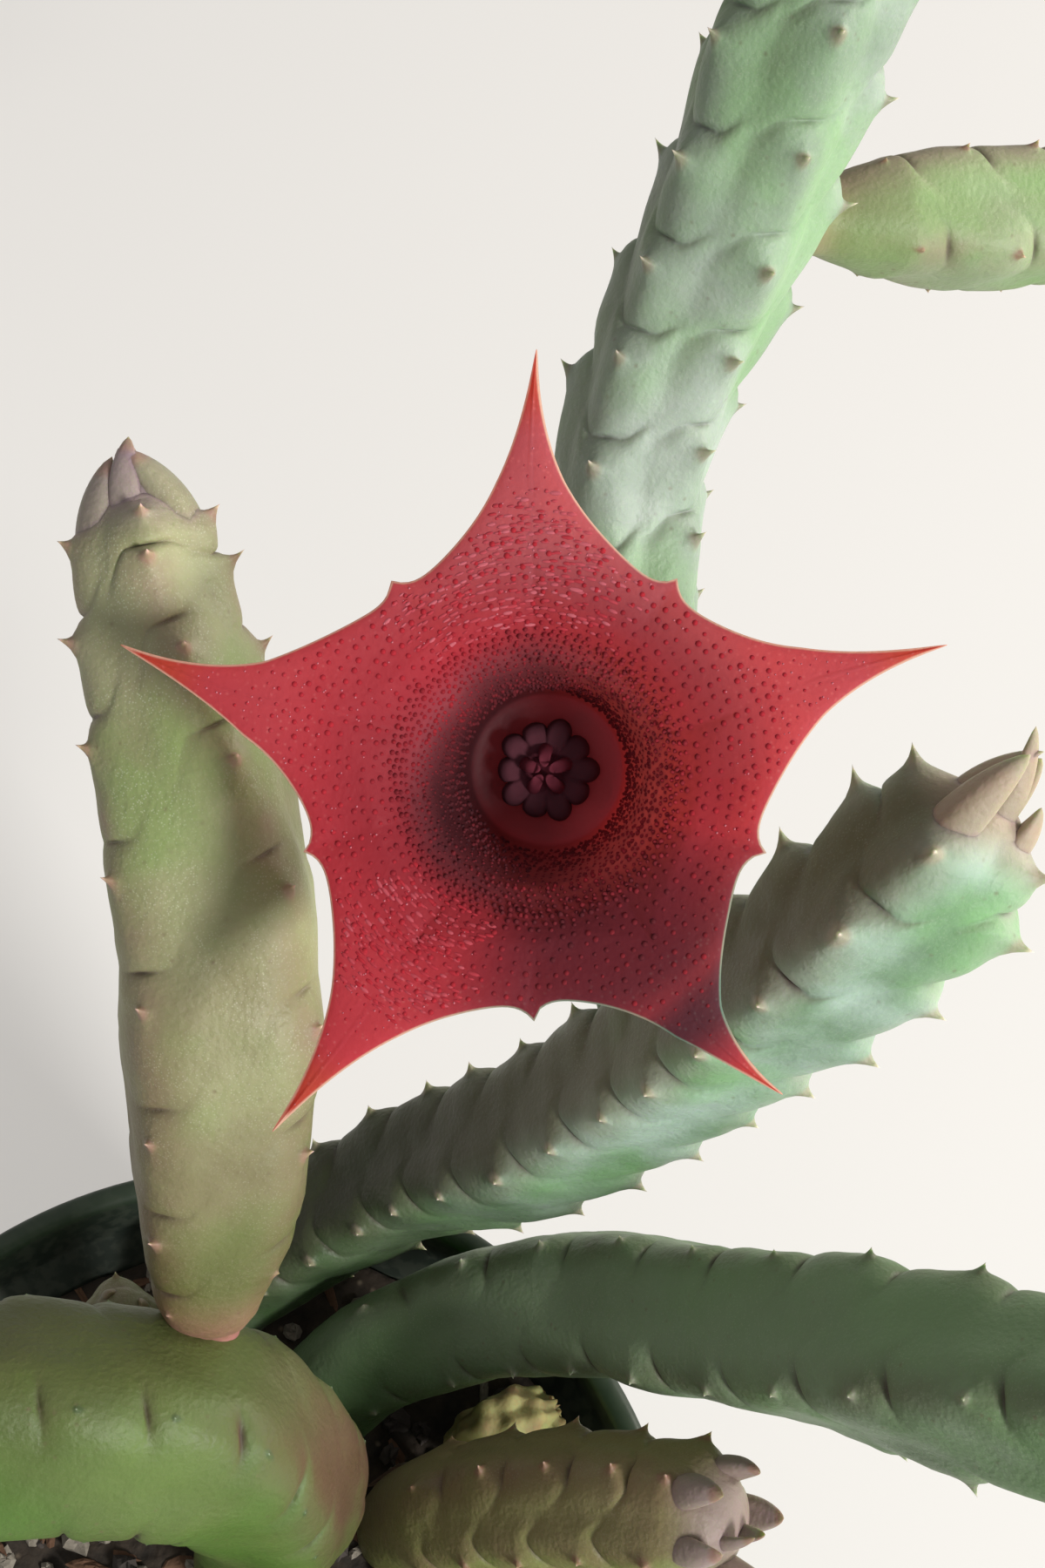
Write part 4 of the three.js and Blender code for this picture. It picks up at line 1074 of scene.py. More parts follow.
def dull_pink_and_sheen(points):
    """1 where the skin is a duller pink, partly painted sheen: on the lobes, most at some of their feet, and
    on the wall.
    """
    reach, turn = polar(points)
    top = np.exp(-(((turn - 75) / 62) ** 2)) * blend(7.5, 12.0, reach)
    wall = 0.75 * (1 - blend(5.6, 7.6, reach))
    lobe = (0.4 + 0.2 * np.cos(np.radians(turn - 60))) * blend(9.5, 14.5, reach)
    return np.maximum.reduce([lobe, top, wall])


shading_stem = Spine(routes["right"])
shading_start = 55  # mm along it: the part before this is nowhere near the flower
shading_centre, shading_radius = shading_stem.at(np.linspace(shading_start, shading_stem.length, 120))[:2]
flower_back = -np.array(flower_turn)[:3, 2]


def shade_behind(points):
    """How little light comes through at points of the flower, in metres. Near 1 in front of the right
    stem, less round the cup, where the flower is thick, and below, where the dark pot is behind it."""
    towards = shading_centre - points[..., None, :] / mm
    deep = (towards @ flower_back)[..., None]
    beside = np.linalg.norm(towards - deep * flower_back, axis=-1) - shading_radius
    stem = 1 - blend(-0.8, 3.0, beside.min(axis=-1))
    reach, turn = polar(to_flower(points))
    downward = np.cos(np.radians(turn + 62))
    pot = 0.9 * blend(0.45, 1.0, downward) * (1 - blend(11.5, 16.0, reach)) * blend(5.0, 8.0, reach)
    sideways = np.maximum(0, np.cos(np.radians(turn - 40)))
    cup = (0.2 + 0.34 * sideways) * (1 - blend(9.0, 14.0, reach))
    return np.maximum.reduce([stem * (1 - blend(15.0, 18.5, reach)), pot, cup])


print("shade at the flower's middle:", shade_behind(to_world(np.zeros((1, 3)))).round(2))


# %% The petal star
def make_petals():
    shape = Shape("reach", "depth", "under", "edge", "behind", "halo", "dust")
    inner = smooth_profile(cup_wall, wall_rows)
    floor = np.stack([np.linspace(0.05, 3.5, floor_rows), np.full(floor_rows, cup_floor)], -1)
    outer = smooth_profile(cup_outside, outside_rows)
    top, top_reach, top_gap = star_rows(np.linspace(0, 1, face_rows)[1:] ** 0.9, 0.0)
    below, below_reach, below_gap = star_rows(np.linspace(0, 1, under_rows)[1:], 1.0)
    points = np.concatenate(
        [round_rows(outer), below, top[::-1], round_rows(inner[::-1]), round_rows(floor[::-1])]
    )
    across = lambda values: np.repeat(np.asarray(values)[:, None], points.shape[1], axis=1)
    reach = np.concatenate(
        [across(outer[:, 0]), below_reach, top_reach[::-1], across(inner[::-1, 0]), across(floor[::-1, 0])]
    )
    far = 9.0  # any distance from the margin that is too far to matter
    cup_rows = wall_rows + floor_rows
    gap = np.concatenate(
        [across(np.full(len(outer), far)), below_gap, top_gap[::-1], across(np.full(cup_rows, far))]
    )
    under = np.zeros(points.shape[:2])
    under[: len(outer) + len(below)] = 1.0
    depth = np.clip(points[..., 2] / cup_floor, 0, 1)
    edge = np.exp(-np.maximum(gap, 0) / 0.16)
    placed = to_world(points)
    shape.add_rings(
        placed, reach=reach, depth=depth, under=under, edge=edge,
        behind=shade_behind(placed), halo=throat_halo(points), dust=dull_pink_and_sheen(points),
    )
    finish_piece(shape.object("petal_star", petal_skin), "petal", "flower_petals")


make_petals()

# %% [markdown]
# The face is covered with papillae: small fleshy pegs. On the open face they are low dark dots that
# grow fewer towards the lobes; on the lip they crowd like beads; down the wall they are nearly black.
# They are real geometry, in circles with every second circle half a step out of line, each moved a
# little by a seeded draw. On the top lobe and at the lower left they run together into pale ridges,
# and tiny pale beads are strewn over the lobes, where they catch the light.

# %% Papilla material
def papilla_material():
    material, tree, peg = new_material("papilla_skin")
    pale = layer(tree, "pale")
    colour = tint(tree, ramp(tree, pale, 0.0, 0.5), (0.03, 0.01, 0.013), (0.35, 0.018, 0.028))
    colour = tint(tree, ramp(tree, pale, 0.5, 1.0), colour, (0.53, 0.16, 0.195))
    blush = use(tree, mottle, "Mask", Scale=1500, Contrast=0.2, Seed=33)
    colour = tint(tree, scaled(tree, blush, 0.25), colour, (0.2, 0.02, 0.03))
    join(tree, colour, peg.inputs["Base Color"])
    wet = use(tree, mottle, "Mask", Scale=1200, Contrast=0.3, Seed=31)
    dry = tint(tree, layer(tree, "wet"), (0.85, 0.85, 0.85), (0.22, 0.22, 0.22))
    join(tree, times(tree, dry, scaled(tree, wet, 0.3, 0.8)), peg.inputs["Roughness"])
    peg.inputs["Specular IOR Level"].default_value = 0.1
    height = use(tree, grain, "Height", Scale=6000, Coarse_Share=0.3, Seed=32)
    bump(tree, peg, height, 0.03 * mm, 0.5)
    return material


papilla_skin = papilla_material()
print("papilla skin:", len(papilla_skin.node_tree.nodes), "nodes")


# %% A peg on the face
def peg_points(foot, normal, beside, radius, height, stretch, sides=7):
    """A blunt cone with a flared foot, on a point of the face. All in mm."""
    turn = np.linspace(0, 2 * math.pi, sides, endpoint=False)
    profile = np.array([(1.15, -0.3), (0.92, 0.25), (0.62, 0.72), (0.24, 1.0)])
    other = np.cross(normal, beside)
    rings = []
    for wide, high in profile:
        circle = beside * np.cos(turn)[:, None] * stretch + other * np.sin(turn)[:, None]
        rings.append(foot + circle * wide * radius + normal * high * height)
    return np.array(rings)


def lobe_of(angle, radius):
    """Which lobe a point belongs to, and the degrees from that lobe's middle line."""
    turned = math.degrees(angle) - 90 + half_lobe
    lobe = int(turned // (2 * half_lobe)) % lobes
    off = turned % (2 * half_lobe) - half_lobe - float(lobe_shift(radius, lobe))
    return lobe, min(abs(off), half_lobe)


def flower_height(radius, angle):
    """Height of the cup's wall or the face at a place."""
    if radius < throat_radius:
        return float(np.interp(radius, cup_wall[:, 0], cup_wall[:, 1]))
    lobe, from_lobe = lobe_of(angle, radius)
    return float(face_height(radius, from_lobe, lobe))


def slope_at(radius, angle):
    """How steeply the surface rises away from the axis."""
    return (flower_height(radius + 0.05, angle) - flower_height(radius - 0.05, angle)) / 0.1


def surface_at(radius, angle):
    """Point, normal and sideways direction on the cup's wall or the face."""
    slope = slope_at(radius, angle)
    out = np.array([math.cos(angle), math.sin(angle), 0])
    normal = np.array([0, 0, 1.0]) - slope * out
    beside = np.array([-math.sin(angle), math.cos(angle), 0])
    place = out * radius + np.array([0, 0, flower_height(radius, angle)])
    return place, normal / np.linalg.norm(normal), beside


print("the lip's slope:", round(slope_at(throat_radius, 0.0), 2))

# %% The papillae
first_circle, last_circle = 4.5, 16.5


def papilla_circles():
    """Radius, spacing, peg radius, peg height, paleness and wetness of each circle, inside first."""
    radius = first_circle
    while radius < last_circle:
        lip, face, lobe = (float(blend(*span, radius)) for span in ((5.6, 6.3), (7.2, 8.4), (12.0, 15.5)))
        spacing = 0.42 + 0.29 * face + 0.12 * lobe
        size = 0.12 + 0.02 * lip - 0.065 * lobe
        height = 0.14 + 0.02 * lip - 0.09 * face - 0.03 * lobe
        yield radius, spacing, size, height, 0.08 * face, 0.4 * lip - 0.3 * face
        radius += 0.86 * spacing / math.hypot(1, slope_at(radius, 1.2))


def add_circles(shape, draw):
    """The pegs of every circle, paler away from the throat's dark ring and its painted shade, and darker
    where no light comes through.
    """
    for number, (radius, spacing, size, height, pale, wet) in enumerate(papilla_circles()):
        count = round(2 * math.pi * radius / spacing)
        for k in range(count):
            angle = (k + 0.5 * (number % 2) + draw.uniform(-0.2, 0.2)) / count * 2 * math.pi
            around = radius + draw.uniform(-0.12, 0.12) * spacing / 0.8
            grow = draw.uniform(0.7, 1.2)
            lobe, from_lobe = lobe_of(angle, around)
            if margin_gap(around, from_lobe, lobe) < 0.4:
                continue
            place, normal, beside = surface_at(around, angle)
            throat_darkness_and_shade = float(throat_halo(place))
            dull_and_sheen = float(dull_pink_and_sheen(place))
            shaded = float(shade_behind(to_world(place[None]))[0])
            paleness = (pale + 0.42 * (1 - throat_darkness_and_shade) + 0.12 * dull_and_sheen) * (1 - 0.72 * shaded)
            shape.add_rings(
                to_world(peg_points(place, normal, beside, size * grow, height * grow, 1.0)),
                pale=paleness + draw.uniform(-0.06, 0.06), wet=wet * (1 - throat_darkness_and_shade) * (1 - shaded),
            )


# %% Ridges and beads
ridge_patches = ((97, 40, 0.68), (232, 24, 0.6))  # middle and half width in degrees, and paleness
ridge_radii = np.arange(7.8, 14.6, 0.37)
ridge_spacing = 0.46
bead_tries = 1300


def add_ridges(shape, draw):
    """Short pale ridges across the foot of the top lobe, and fainter ones at the lower left."""
    for middle, spread, pale in ridge_patches:
        for radius in ridge_radii:
            count = round(math.radians(2 * spread) * radius / ridge_spacing)
            for k in range(count):
                share = (k + 0.5 + draw.uniform(-0.3, 0.3)) / count * 2 - 1
                if draw.uniform() < share**4 + 0.25 * blend(12.5, 14.5, radius):
                    continue
                angle = math.radians(middle + spread * share)
                around = radius + 0.16 * math.sin(14 * angle + 2 * radius) + draw.uniform(-0.1, 0.1)
                lobe, from_lobe = lobe_of(angle, around)
                if margin_gap(around, from_lobe, lobe) < 0.5:
                    continue
                place, normal, beside = surface_at(around, angle)
                size = 0.085 * draw.uniform(0.7, 1.3)
                points = peg_points(place, normal, beside, size, 0.05, draw.uniform(1.8, 3.4))
                shape.add_rings(to_world(points), pale=pale + draw.uniform(-0.1, 0.12), wet=0.2)


def add_beads(shape, draw):
    """Tiny pale beads that catch the light all over the open face and the lobes."""
    for _ in range(bead_tries):
        angle, radius = draw.uniform(0, 2 * math.pi), draw.uniform(8.5, 21.0)
        lobe, from_lobe = lobe_of(angle, radius)
        if margin_gap(radius, from_lobe, lobe) < 0.25 or draw.uniform() > 0.3 + radius / 25:
            continue
        place, normal, beside = surface_at(radius, angle)
        if float(shade_behind(to_world(place[None]))[0]) > 0.4:
            continue
        size = draw.uniform(0.035, 0.065)
        points = peg_points(place, normal, beside, size, size, 1.0, sides=5)
        shape.add_rings(to_world(points), pale=1.0, wet=1.0)


def make_papillae():
    draw = np.random.default_rng(41)
    shape = Shape("pale", "wet")
    add_circles(shape, draw)
    add_ridges(shape, draw)
    add_beads(shape, draw)
    finish_piece(shape.object("papillae", papilla_skin), "petal")


make_papillae()

# %% [markdown]
# On the floor of the cup lies the corona: a thick dark disc with ten rounded lobes in five pairs, and
# five small fingers that lean together over the middle. The disc is a height map on a round grid, and
# each finger is a tube with a rounded end.

# %% Corona material
def corona_material():
    material, tree, disc = new_material("corona_flesh")
    cloud_mask = use(tree, mottle, "Mask", Scale=900, Contrast=0.2, Seed=51)
    inner = ramp(tree, layer(tree, "reach"), 1.6, 0.6)
    colour = tint(tree, cloud_mask, (0.07, 0.021, 0.03), (0.09, 0.026, 0.037))
    colour = tint(tree, scaled(tree, inner, 0.7), colour, (0.14, 0.02, 0.035))
    join(tree, colour, disc.inputs["Base Color"])
    join(tree, scaled(tree, cloud_mask, 0.15, 0.75), disc.inputs["Roughness"])
    disc.inputs["Specular IOR Level"].default_value = 0.1
    height = use(tree, grain, "Height", Scale=2500, Coarse_Share=0.5, Seed=52)
    bump(tree, disc, height, 0.08 * mm, 0.6)
    return material


corona_flesh = corona_material()
print("corona flesh:", len(corona_flesh.node_tree.nodes), "nodes")

# %% The corona
corona_floor = cup_floor + 0.3
disc_columns, disc_top_rows, disc_under_rows = 240, 22, 12
disc_radius, lobe_depth = 2.55, 0.56


def add_disc(shape):
    """The lobed disc, with a groove between the lobes and a dish in the middle."""
    turn = np.linspace(0, 2 * math.pi, disc_columns, endpoint=False)[None, :]
    wave = np.cos(5 * turn)
    outline = disc_radius + lobe_depth * (np.abs(wave) ** 0.6 - 0.5) + 0.11 * wave
    share = np.concatenate([np.linspace(0.02, 1, disc_top_rows), np.linspace(1, 0.02, disc_under_rows)])
    share = share[:, None]
    top = np.concatenate([np.ones(disc_top_rows), np.zeros(disc_under_rows)])[:, None]
    rounding = np.sqrt(np.clip(1 - np.clip((share - 0.72) / 0.28, 0, 1) ** 2, 0, 1))
    groove = 0.1 * np.exp(-((wave / 0.3) ** 2)) * blend(0.35, 0.8, share)
    dish = 0.25 * blend(0.55, 0.25, share)
    height = corona_floor + 0.25 + top * (0.7 * rounding - groove - dish) - (1 - top) * 0.25
    radius = share * outline
    height = np.broadcast_to(height, radius.shape)
    points = np.stack([radius * np.cos(turn), radius * np.sin(turn), height], -1)
    shape.add_rings(to_world(points[::-1]), reach=radius[::-1])


def add_fingers(shape):
    """Five tubes that rise from the disc and lean in over the middle."""
    ring_turn = np.linspace(0, 2 * math.pi, 12, endpoint=False)[None, :, None]
    t = np.linspace(0, 1, 10)[:, None, None]
    up = np.array([0, 0, 1.0])
    for k in range(lobes):
        about = (k + 0.25) / lobes * 2 * math.pi
        out = np.array([math.cos(about), math.sin(about), 0])
        beside = np.array([-math.sin(about), math.cos(about), 0])
        path = out * (1.25 - 0.95 * t**1.4) + up * (corona_floor + 0.45 + 1.42 * np.sin(1.9 * t))
        half = 0.36 * np.sqrt(1 - t**2) + 0.05
        sideways = 0.4 * np.cross(out, beside) - out
        ring = (beside * np.cos(ring_turn) + sideways * np.sin(ring_turn)) * half
        shape.add_rings(to_world(path + ring), reach=0.5)


def make_corona():
    shape = Shape("reach")
    add_disc(shape)
    add_fingers(shape)
    finish_piece(shape.object("corona_disc", corona_flesh), "corona", "flower_corona")


make_corona()

# %% [markdown]
# The stalk holds the flower from below: a short fleshy rod from the back stem, a small plate under
# the cup, and five pointed sepals that lie against it. A tube along a curve makes the rod and the
# sepals alike, with the radius given as a formula of the way along.

# %% Stalk material
def stalk_material():
    material, tree, flesh = new_material("stalk_skin")
    cloud_mask = use(tree, mottle, "Mask", Scale=500, Contrast=0.2, Seed=61)
    colour = tint(tree, cloud_mask, (0.26, 0.3, 0.14), (0.36, 0.28, 0.17))
    dots = use(tree, speckle, "Mask", Scale=1400, Size=0.25, Seed=62)
    colour = tint(tree, scaled(tree, dots, 0.5), colour, (0.25, 0.06, 0.06))
    join(tree, colour, flesh.inputs["Base Color"])
    join(tree, scaled(tree, cloud_mask, 0.2, 0.45), flesh.inputs["Roughness"])
    bump(tree, flesh, use(tree, grain, "Height", Scale=2000, Seed=63), 0.08 * mm, 0.7)
    return material


stalk_skin = stalk_material()
print("stalk skin:", len(stalk_skin.node_tree.nodes), "nodes")

# %% Stalk and sepals
any_way = (0.31, 0.94, 0.12)  # a direction that no tube here runs along
plate_height = cup_underside - 0.3  # where the stalk's plate meets the cup
stalk_radius, sepal_half_width = 1.05, 0.78


def tube(path, half, columns=20):
    """A tube round a path in mm, with a radius for each of its points."""
    path = np.array(path, float)
    along = np.gradient(path, axis=0)
    along /= np.linalg.norm(along, axis=1, keepdims=True)
    aside = np.cross(along, any_way)
    aside /= np.linalg.norm(aside, axis=1, keepdims=True)
    other = np.cross(along, aside)
    turn = np.linspace(0, 2 * math.pi, columns, endpoint=False)
    circle = aside[:, None] * np.cos(turn)[None, :, None] + other[:, None] * np.sin(turn)[None, :, None]
    return path[:, None] + circle * np.asarray(half)[:, None, None]


def add_rod(shape):
    """The stalk, from under the cup down to the skin of the back stem."""
    *spring, spring_radius = routes["back"][4]
    towards = np.array((-0.25, -0.5, 0.83))
    towards /= np.linalg.norm(towards)
    foot = to_flower((np.array(spring, float) + towards * (spring_radius + 0.2)) * mm)
    middle = (np.array([0, 0, plate_height - 5]) + foot) / 2
    route = [(0, 0, plate_height - 0.2, 1), (0, 0.2, plate_height - 4, 1), (*middle, 1), (*foot, 1)]
    spine = Spine(route)
    distance = np.linspace(0, spine.length, 40)
    share = distance / spine.length
    half = stalk_radius + 1.1 * np.exp(-distance / 0.7) + 0.5 * blend(0.88, 1.0, share)
    shape.add_rings(to_world(tube(spine.at(distance)[0], half)))


def add_sepals(shape):
    """Five flat pointed sepals that lie against the cup."""
    t = np.linspace(0, 1, 18)
    for k in range(lobes):
        about = (k + 0.5) / lobes * 2 * math.pi + math.pi / 2
        out = np.array([math.cos(about), math.sin(about), 0])
        radius = 1.0 + 3.6 * t - 0.15 * t * t
        height = plate_height - 0.75 + 0.2 * t + 1.3 * t**2
        path = out * radius[:, None] + np.array([0, 0, 1.0]) * height[:, None]
        width = sepal_half_width * (1 - t) ** 0.7 + 0.03
        middle = path[:, None]
        points = middle + (tube(path, width, 14) - middle) * np.array([1, 1, 0.5])
        shape.add_rings(to_world(points))


def make_stalk():
    shape = Shape()
    add_rod(shape)
    add_sepals(shape)
    finish_piece(shape.object("stalk_and_sepals", stalk_skin), "stalk", "flower_stalk")


make_stalk()

# %% [markdown]
# The pot is a thin nursery pot: a tapered wall with a rolled lip and holes in its floor. A turned
# profile gives the shell, and a Boolean modifier cuts the holes. The plastic is so thin that its lip
# glows green where light comes through, which a share of translucent shader shows.

# %% Pot material
def pot_material():
    material, tree, plastic = new_material("pot_plastic")
    dust = use(tree, mottle, "Mask", Scale=70, Contrast=0.2, Seed=71)
    colour = tint(tree, scaled(tree, dust, 0.5), (0.012, 0.02, 0.016), (0.05, 0.06, 0.045))
    scuff = use(tree, mottle, "Mask", Scale=900, Contrast=0.05, Seed=72)
    colour = tint(tree, scaled(tree, scuff, 0.2), colour, (0.12, 0.13, 0.1))
    lip_mask = layer(tree, "lip")
    colour = tint(tree, scaled(tree, lip_mask, 0.6), colour, (0.03, 0.05, 0.028))
    join(tree, colour, plastic.inputs["Base Color"])
    join(tree, scaled(tree, dust, 0.25, 0.32), plastic.inputs["Roughness"])
    bump(tree, plastic, use(tree, grain, "Height", Scale=1200, Seed=73), 0.05 * mm, 0.5)
    let_light_through(tree, plastic, scaled(tree, lip_mask, 0.3), (0.16, 0.32, 0.12, 1))
    return material


pot_plastic = pot_material()
print("pot plastic:", len(pot_plastic.node_tree.nodes), "nodes")

# %% The pot's profile
pot_height, base_radius, shoulder_radius, lip_radius = 60.0, 24.5, 32.2, 35.0
lip_height, lip_width, wall, floor_thick = 7.5, 2.0, 1.2, 1.8
foot_round, lip_round, lip_edge_round = 1.2, 0.9, 0.6  # radii of the rounded corners
axis_gap = 0.3  # radius at which the floor's rings stop, short of the axis
wall_rings, pot_columns = 24, 144


def arc(centre, radius, start, stop, count=6):
    """Points of a round corner, from one angle to another in degrees."""
    turn = np.radians(np.linspace(start, stop, count))
    return [(centre[0] + radius * math.cos(a), centre[1] + radius * math.sin(a)) for a in turn]


def pot_profile():
    """Radius and height round the section of the wall: up the outside, over the lip and down inside."""
    shoulder = pot_height - lip_height
    inside = lip_radius - lip_width
    inner_floor = base_radius + (shoulder_radius - base_radius) * floor_thick / shoulder - wall
    rise = np.linspace(0, 1, wall_rings)[1:]
    outside = base_radius + (shoulder_radius - base_radius) * rise
    profile = [(axis_gap, 0.0), (base_radius - 6, 0.0)]
    profile += arc((base_radius - foot_round, foot_round), foot_round, -90, -8)
    profile += list(zip(outside, 1.5 + (shoulder - 2) * rise))
    profile += [(shoulder_radius + 0.6, shoulder)]
    profile += arc((lip_radius - lip_edge_round, shoulder + lip_edge_round), lip_edge_round, -90, 0)
    profile += arc((lip_radius - lip_round, pot_height - lip_round), lip_round, 0, 90)
    profile += arc((inside + lip_round, pot_height - lip_round), lip_round, 90, 180)
    profile += [(inside, shoulder + 2.2), (inside - 0.1, shoulder + 1.5)]
    profile += [(shoulder_radius - wall + 0.1, shoulder), (inner_floor, floor_thick), (axis_gap, floor_thick)]
    return np.array(profile)


print("points in the pot's profile:", len(pot_profile()))

# %% The pot
hole_count, hole_radius, hole_circle = 6, 2.4, 16.5


def make_drill(number, turn):
    """A short rod that stands through the pot's floor where a hole goes."""
    about = (number + 0.5) / hole_count * 2 * math.pi
    circle = hole_radius * np.stack([np.cos(turn[::4]), np.sin(turn[::4])], -1)
    centre = hole_circle * np.array([math.cos(about), math.sin(about)])
    ring = np.concatenate([circle + centre, np.zeros((len(circle), 1))], -1)
    drill = Shape()
    drill.add_rings(np.stack([ring + (0, 0, -1), ring + (0, 0, 3)]) * mm)
    return drill.object(f"drill_{number}", pot_plastic)


def make_pot():
    profile = pot_profile()
    turn = np.linspace(0, 2 * math.pi, pot_columns, endpoint=False)
    radius, height = profile[:, :1], np.broadcast_to(profile[:, 1:], (len(profile), pot_columns))
    points = np.stack([radius * np.cos(turn), radius * np.sin(turn), height], -1)
    shape = Shape("lip")
    shape.add_rings(points * mm, lip=blend(pot_height - 1.2, pot_height - 0.4, profile[:, 1:]))
    piece = shape.object("pot_shell", pot_plastic)
    drills = [make_drill(number, turn) for number in range(hole_count)]
    for drill in drills:
        cut = piece.modifiers.new(drill.name, "BOOLEAN")
        cut.operation = "DIFFERENCE"
        cut.object = drill
    graph = bpy.context.evaluated_depsgraph_get()
    drilled = bpy.data.meshes.new_from_object(piece.evaluated_get(graph))
    piece.modifiers.clear()
    piece.data = drilled
    for drill in drills:
        bpy.data.objects.remove(drill)
    finish_piece(piece, "pot", "pot")
    print(f"pot with holes: {len(drilled.polygons)} faces")


make_pot()

# %% [markdown]
# The soil is a gritty mix. A turned filling with a lumpy top gives the mass, and loose grit lies on
# it: pale pumice, dark stones and splinters of bark. Each grain is a small faceted ball, squeezed and
# turned at random, so that no two are alike.

# %% Soil and grit materials
pumice_from, bark_from = 0.35, 0.7  # kinds of grain: dark stones, then pumice, then bark


def soil_material():
    material, tree, mix = new_material("soil_crumb")
    crumb = use(tree, mottle, "Mask", Scale=450, Contrast=0.15, Seed=81)
    colour = tint(tree, crumb, (0.014, 0.011, 0.008), (0.045, 0.032, 0.022))
    bits = use(tree, speckle, "Mask", Scale=600, Size=0.22, Seed=82)
    colour = tint(tree, scaled(tree, bits, 0.7), colour, (0.22, 0.17, 0.12))
    join(tree, colour, mix.inputs["Base Color"])
    mix.inputs["Roughness"].default_value = 0.95
    bump(tree, mix, use(tree, grain, "Height", Scale=1400, Coarse_Share=0.6, Seed=83), 0.5 * mm, 1.0)
    return material


def grit_material():
    material, tree, stone = new_material("grit_stone")
    kind = layer(tree, "kind")
    pores = use(tree, mottle, "Mask", Scale=900, Contrast=0.2, Seed=84)
    pumice = tint(tree, pores, (0.16, 0.14, 0.11), (0.26, 0.23, 0.19))
    colour = tint(tree, ramp(tree, kind, pumice_from, pumice_from + 0.05), (0.05, 0.04, 0.035), pumice)
    colour = tint(tree, ramp(tree, kind, bark_from, bark_from + 0.02), colour, (0.11, 0.055, 0.03))
    join(tree, colour, stone.inputs["Base Color"])
    stone.inputs["Roughness"].default_value = 0.9
    bump(tree, stone, use(tree, grain, "Height", Scale=3000, Coarse_Share=0.5, Seed=85), 0.15 * mm, 1.0)
    return material


soil_crumb, grit_stone = soil_material(), grit_material()
print("soil and grit:", len(soil_crumb.node_tree.nodes), "and", len(grit_stone.node_tree.nodes), "nodes")

# %% The soil
soil_top, soil_crown, soil_radius = 52.0, 1.2, 30.5
soil_bottom = floor_thick + 0.3
wall_gap = 0.3  # between the soil and the pot's wall
soil_columns, soil_side_rows, soil_top_rows = 120, 10, 56


def soil_height(x, y):
    """Height of the soil's surface, in mm."""
    flat = np.stack([x, y, np.zeros_like(x)], -1)
    dome = soil_crown * (1 - (x * x + y * y) / soil_radius**2)
    return soil_top + dome + 0.55 * waves(flat, 7.0, 86) + 0.3 * waves(flat, 2.3, 87)


def make_soil():
    taper = (shoulder_radius - base_radius) / (pot_height - lip_height)
    low_radius = base_radius + taper * soil_bottom - wall - wall_gap
    top_radius = base_radius + taper * soil_top - wall - wall_gap
    turn = np.linspace(0, 2 * math.pi, soil_columns, endpoint=False)[None, :]
    rise = np.linspace(0, 1, soil_side_rows)[:, None]
    radius = low_radius + (top_radius - low_radius) * rise
    height = soil_bottom + (soil_top - soil_bottom - 0.5) * rise + np.zeros_like(turn)
    side = np.stack([radius * np.cos(turn), radius * np.sin(turn), height], -1)
    inwards = np.linspace(1, 0.01, soil_top_rows)[:, None]
    x, y = top_radius * inwards * np.cos(turn), top_radius * inwards * np.sin(turn)
    top = np.stack([x, y, soil_height(x, y)], -1)
    shape = Shape()
    shape.add_rings(np.concatenate([side, top]) * mm)
    finish_piece(shape.object("soil_mix", soil_crumb), "soil", "soil")


make_soil()

# %% The loose grit
grit_count, grit_reach = 620, 29.3
grit_tilts = np.radians([12, 45, 80, 115, 150, 172])[:, None]
grit_columns = 8
stone_squeeze, bark_squeeze = (1, 1, 0.8), (2.4, 0.7, 0.4)


def grain_ball():
    """Unit directions of a small ball, as rings."""
    turn = np.linspace(0, 2 * math.pi, grit_columns, endpoint=False)[None, :]
    height = np.broadcast_to(-np.cos(grit_tilts), (len(grit_tilts), grit_columns))
    return np.stack([np.sin(grit_tilts) * np.cos(turn), np.sin(grit_tilts) * np.sin(turn), height], -1)


def make_grit():
    draw = np.random.default_rng(88)
    shape = Shape("kind")
    ball = grain_ball()
    for _ in range(grit_count):
        reach, about = grit_reach * math.sqrt(draw.uniform()), draw.uniform(0, 2 * math.pi)
        x, y = reach * math.cos(about), reach * math.sin(about)
        kind = draw.uniform()
        stone = kind < bark_from
        size = draw.uniform(0.45, 1.25) if stone else draw.uniform(0.5, 0.9)
        squeeze = draw.uniform(0.6, 1.1, 3) * (stone_squeeze if stone else bark_squeeze)
        rough = 1 + 0.22 * draw.normal(size=(*ball.shape[:2], 1)).clip(-1.5, 1.5)
        spin, tip = draw.uniform(0, 6.3), draw.uniform(-0.5, 0.5)
        turned = Matrix.Rotation(spin, 3, "Z") @ Matrix.Rotation(tip, 3, "X")
        points = (ball * rough * squeeze * size) @ np.array(turned).T
        z = float(soil_height(np.array(x), np.array(y))) + 0.2 * size
        shape.add_rings((points + (x, y, z)) * mm, kind=kind)
    piece = shape.object("soil_grit", grit_stone)
    for face in piece.data.polygons:
        face.use_smooth = False
    finish_piece(piece, "soil")


make_grit()

# %% [markdown]
# Near the stems' feet lies a dried flower, shrunk to a papery scrap. A ball with deep pleats pinched
# towards one end gives its crumpled look, and the thin dry tissue lets some light through.

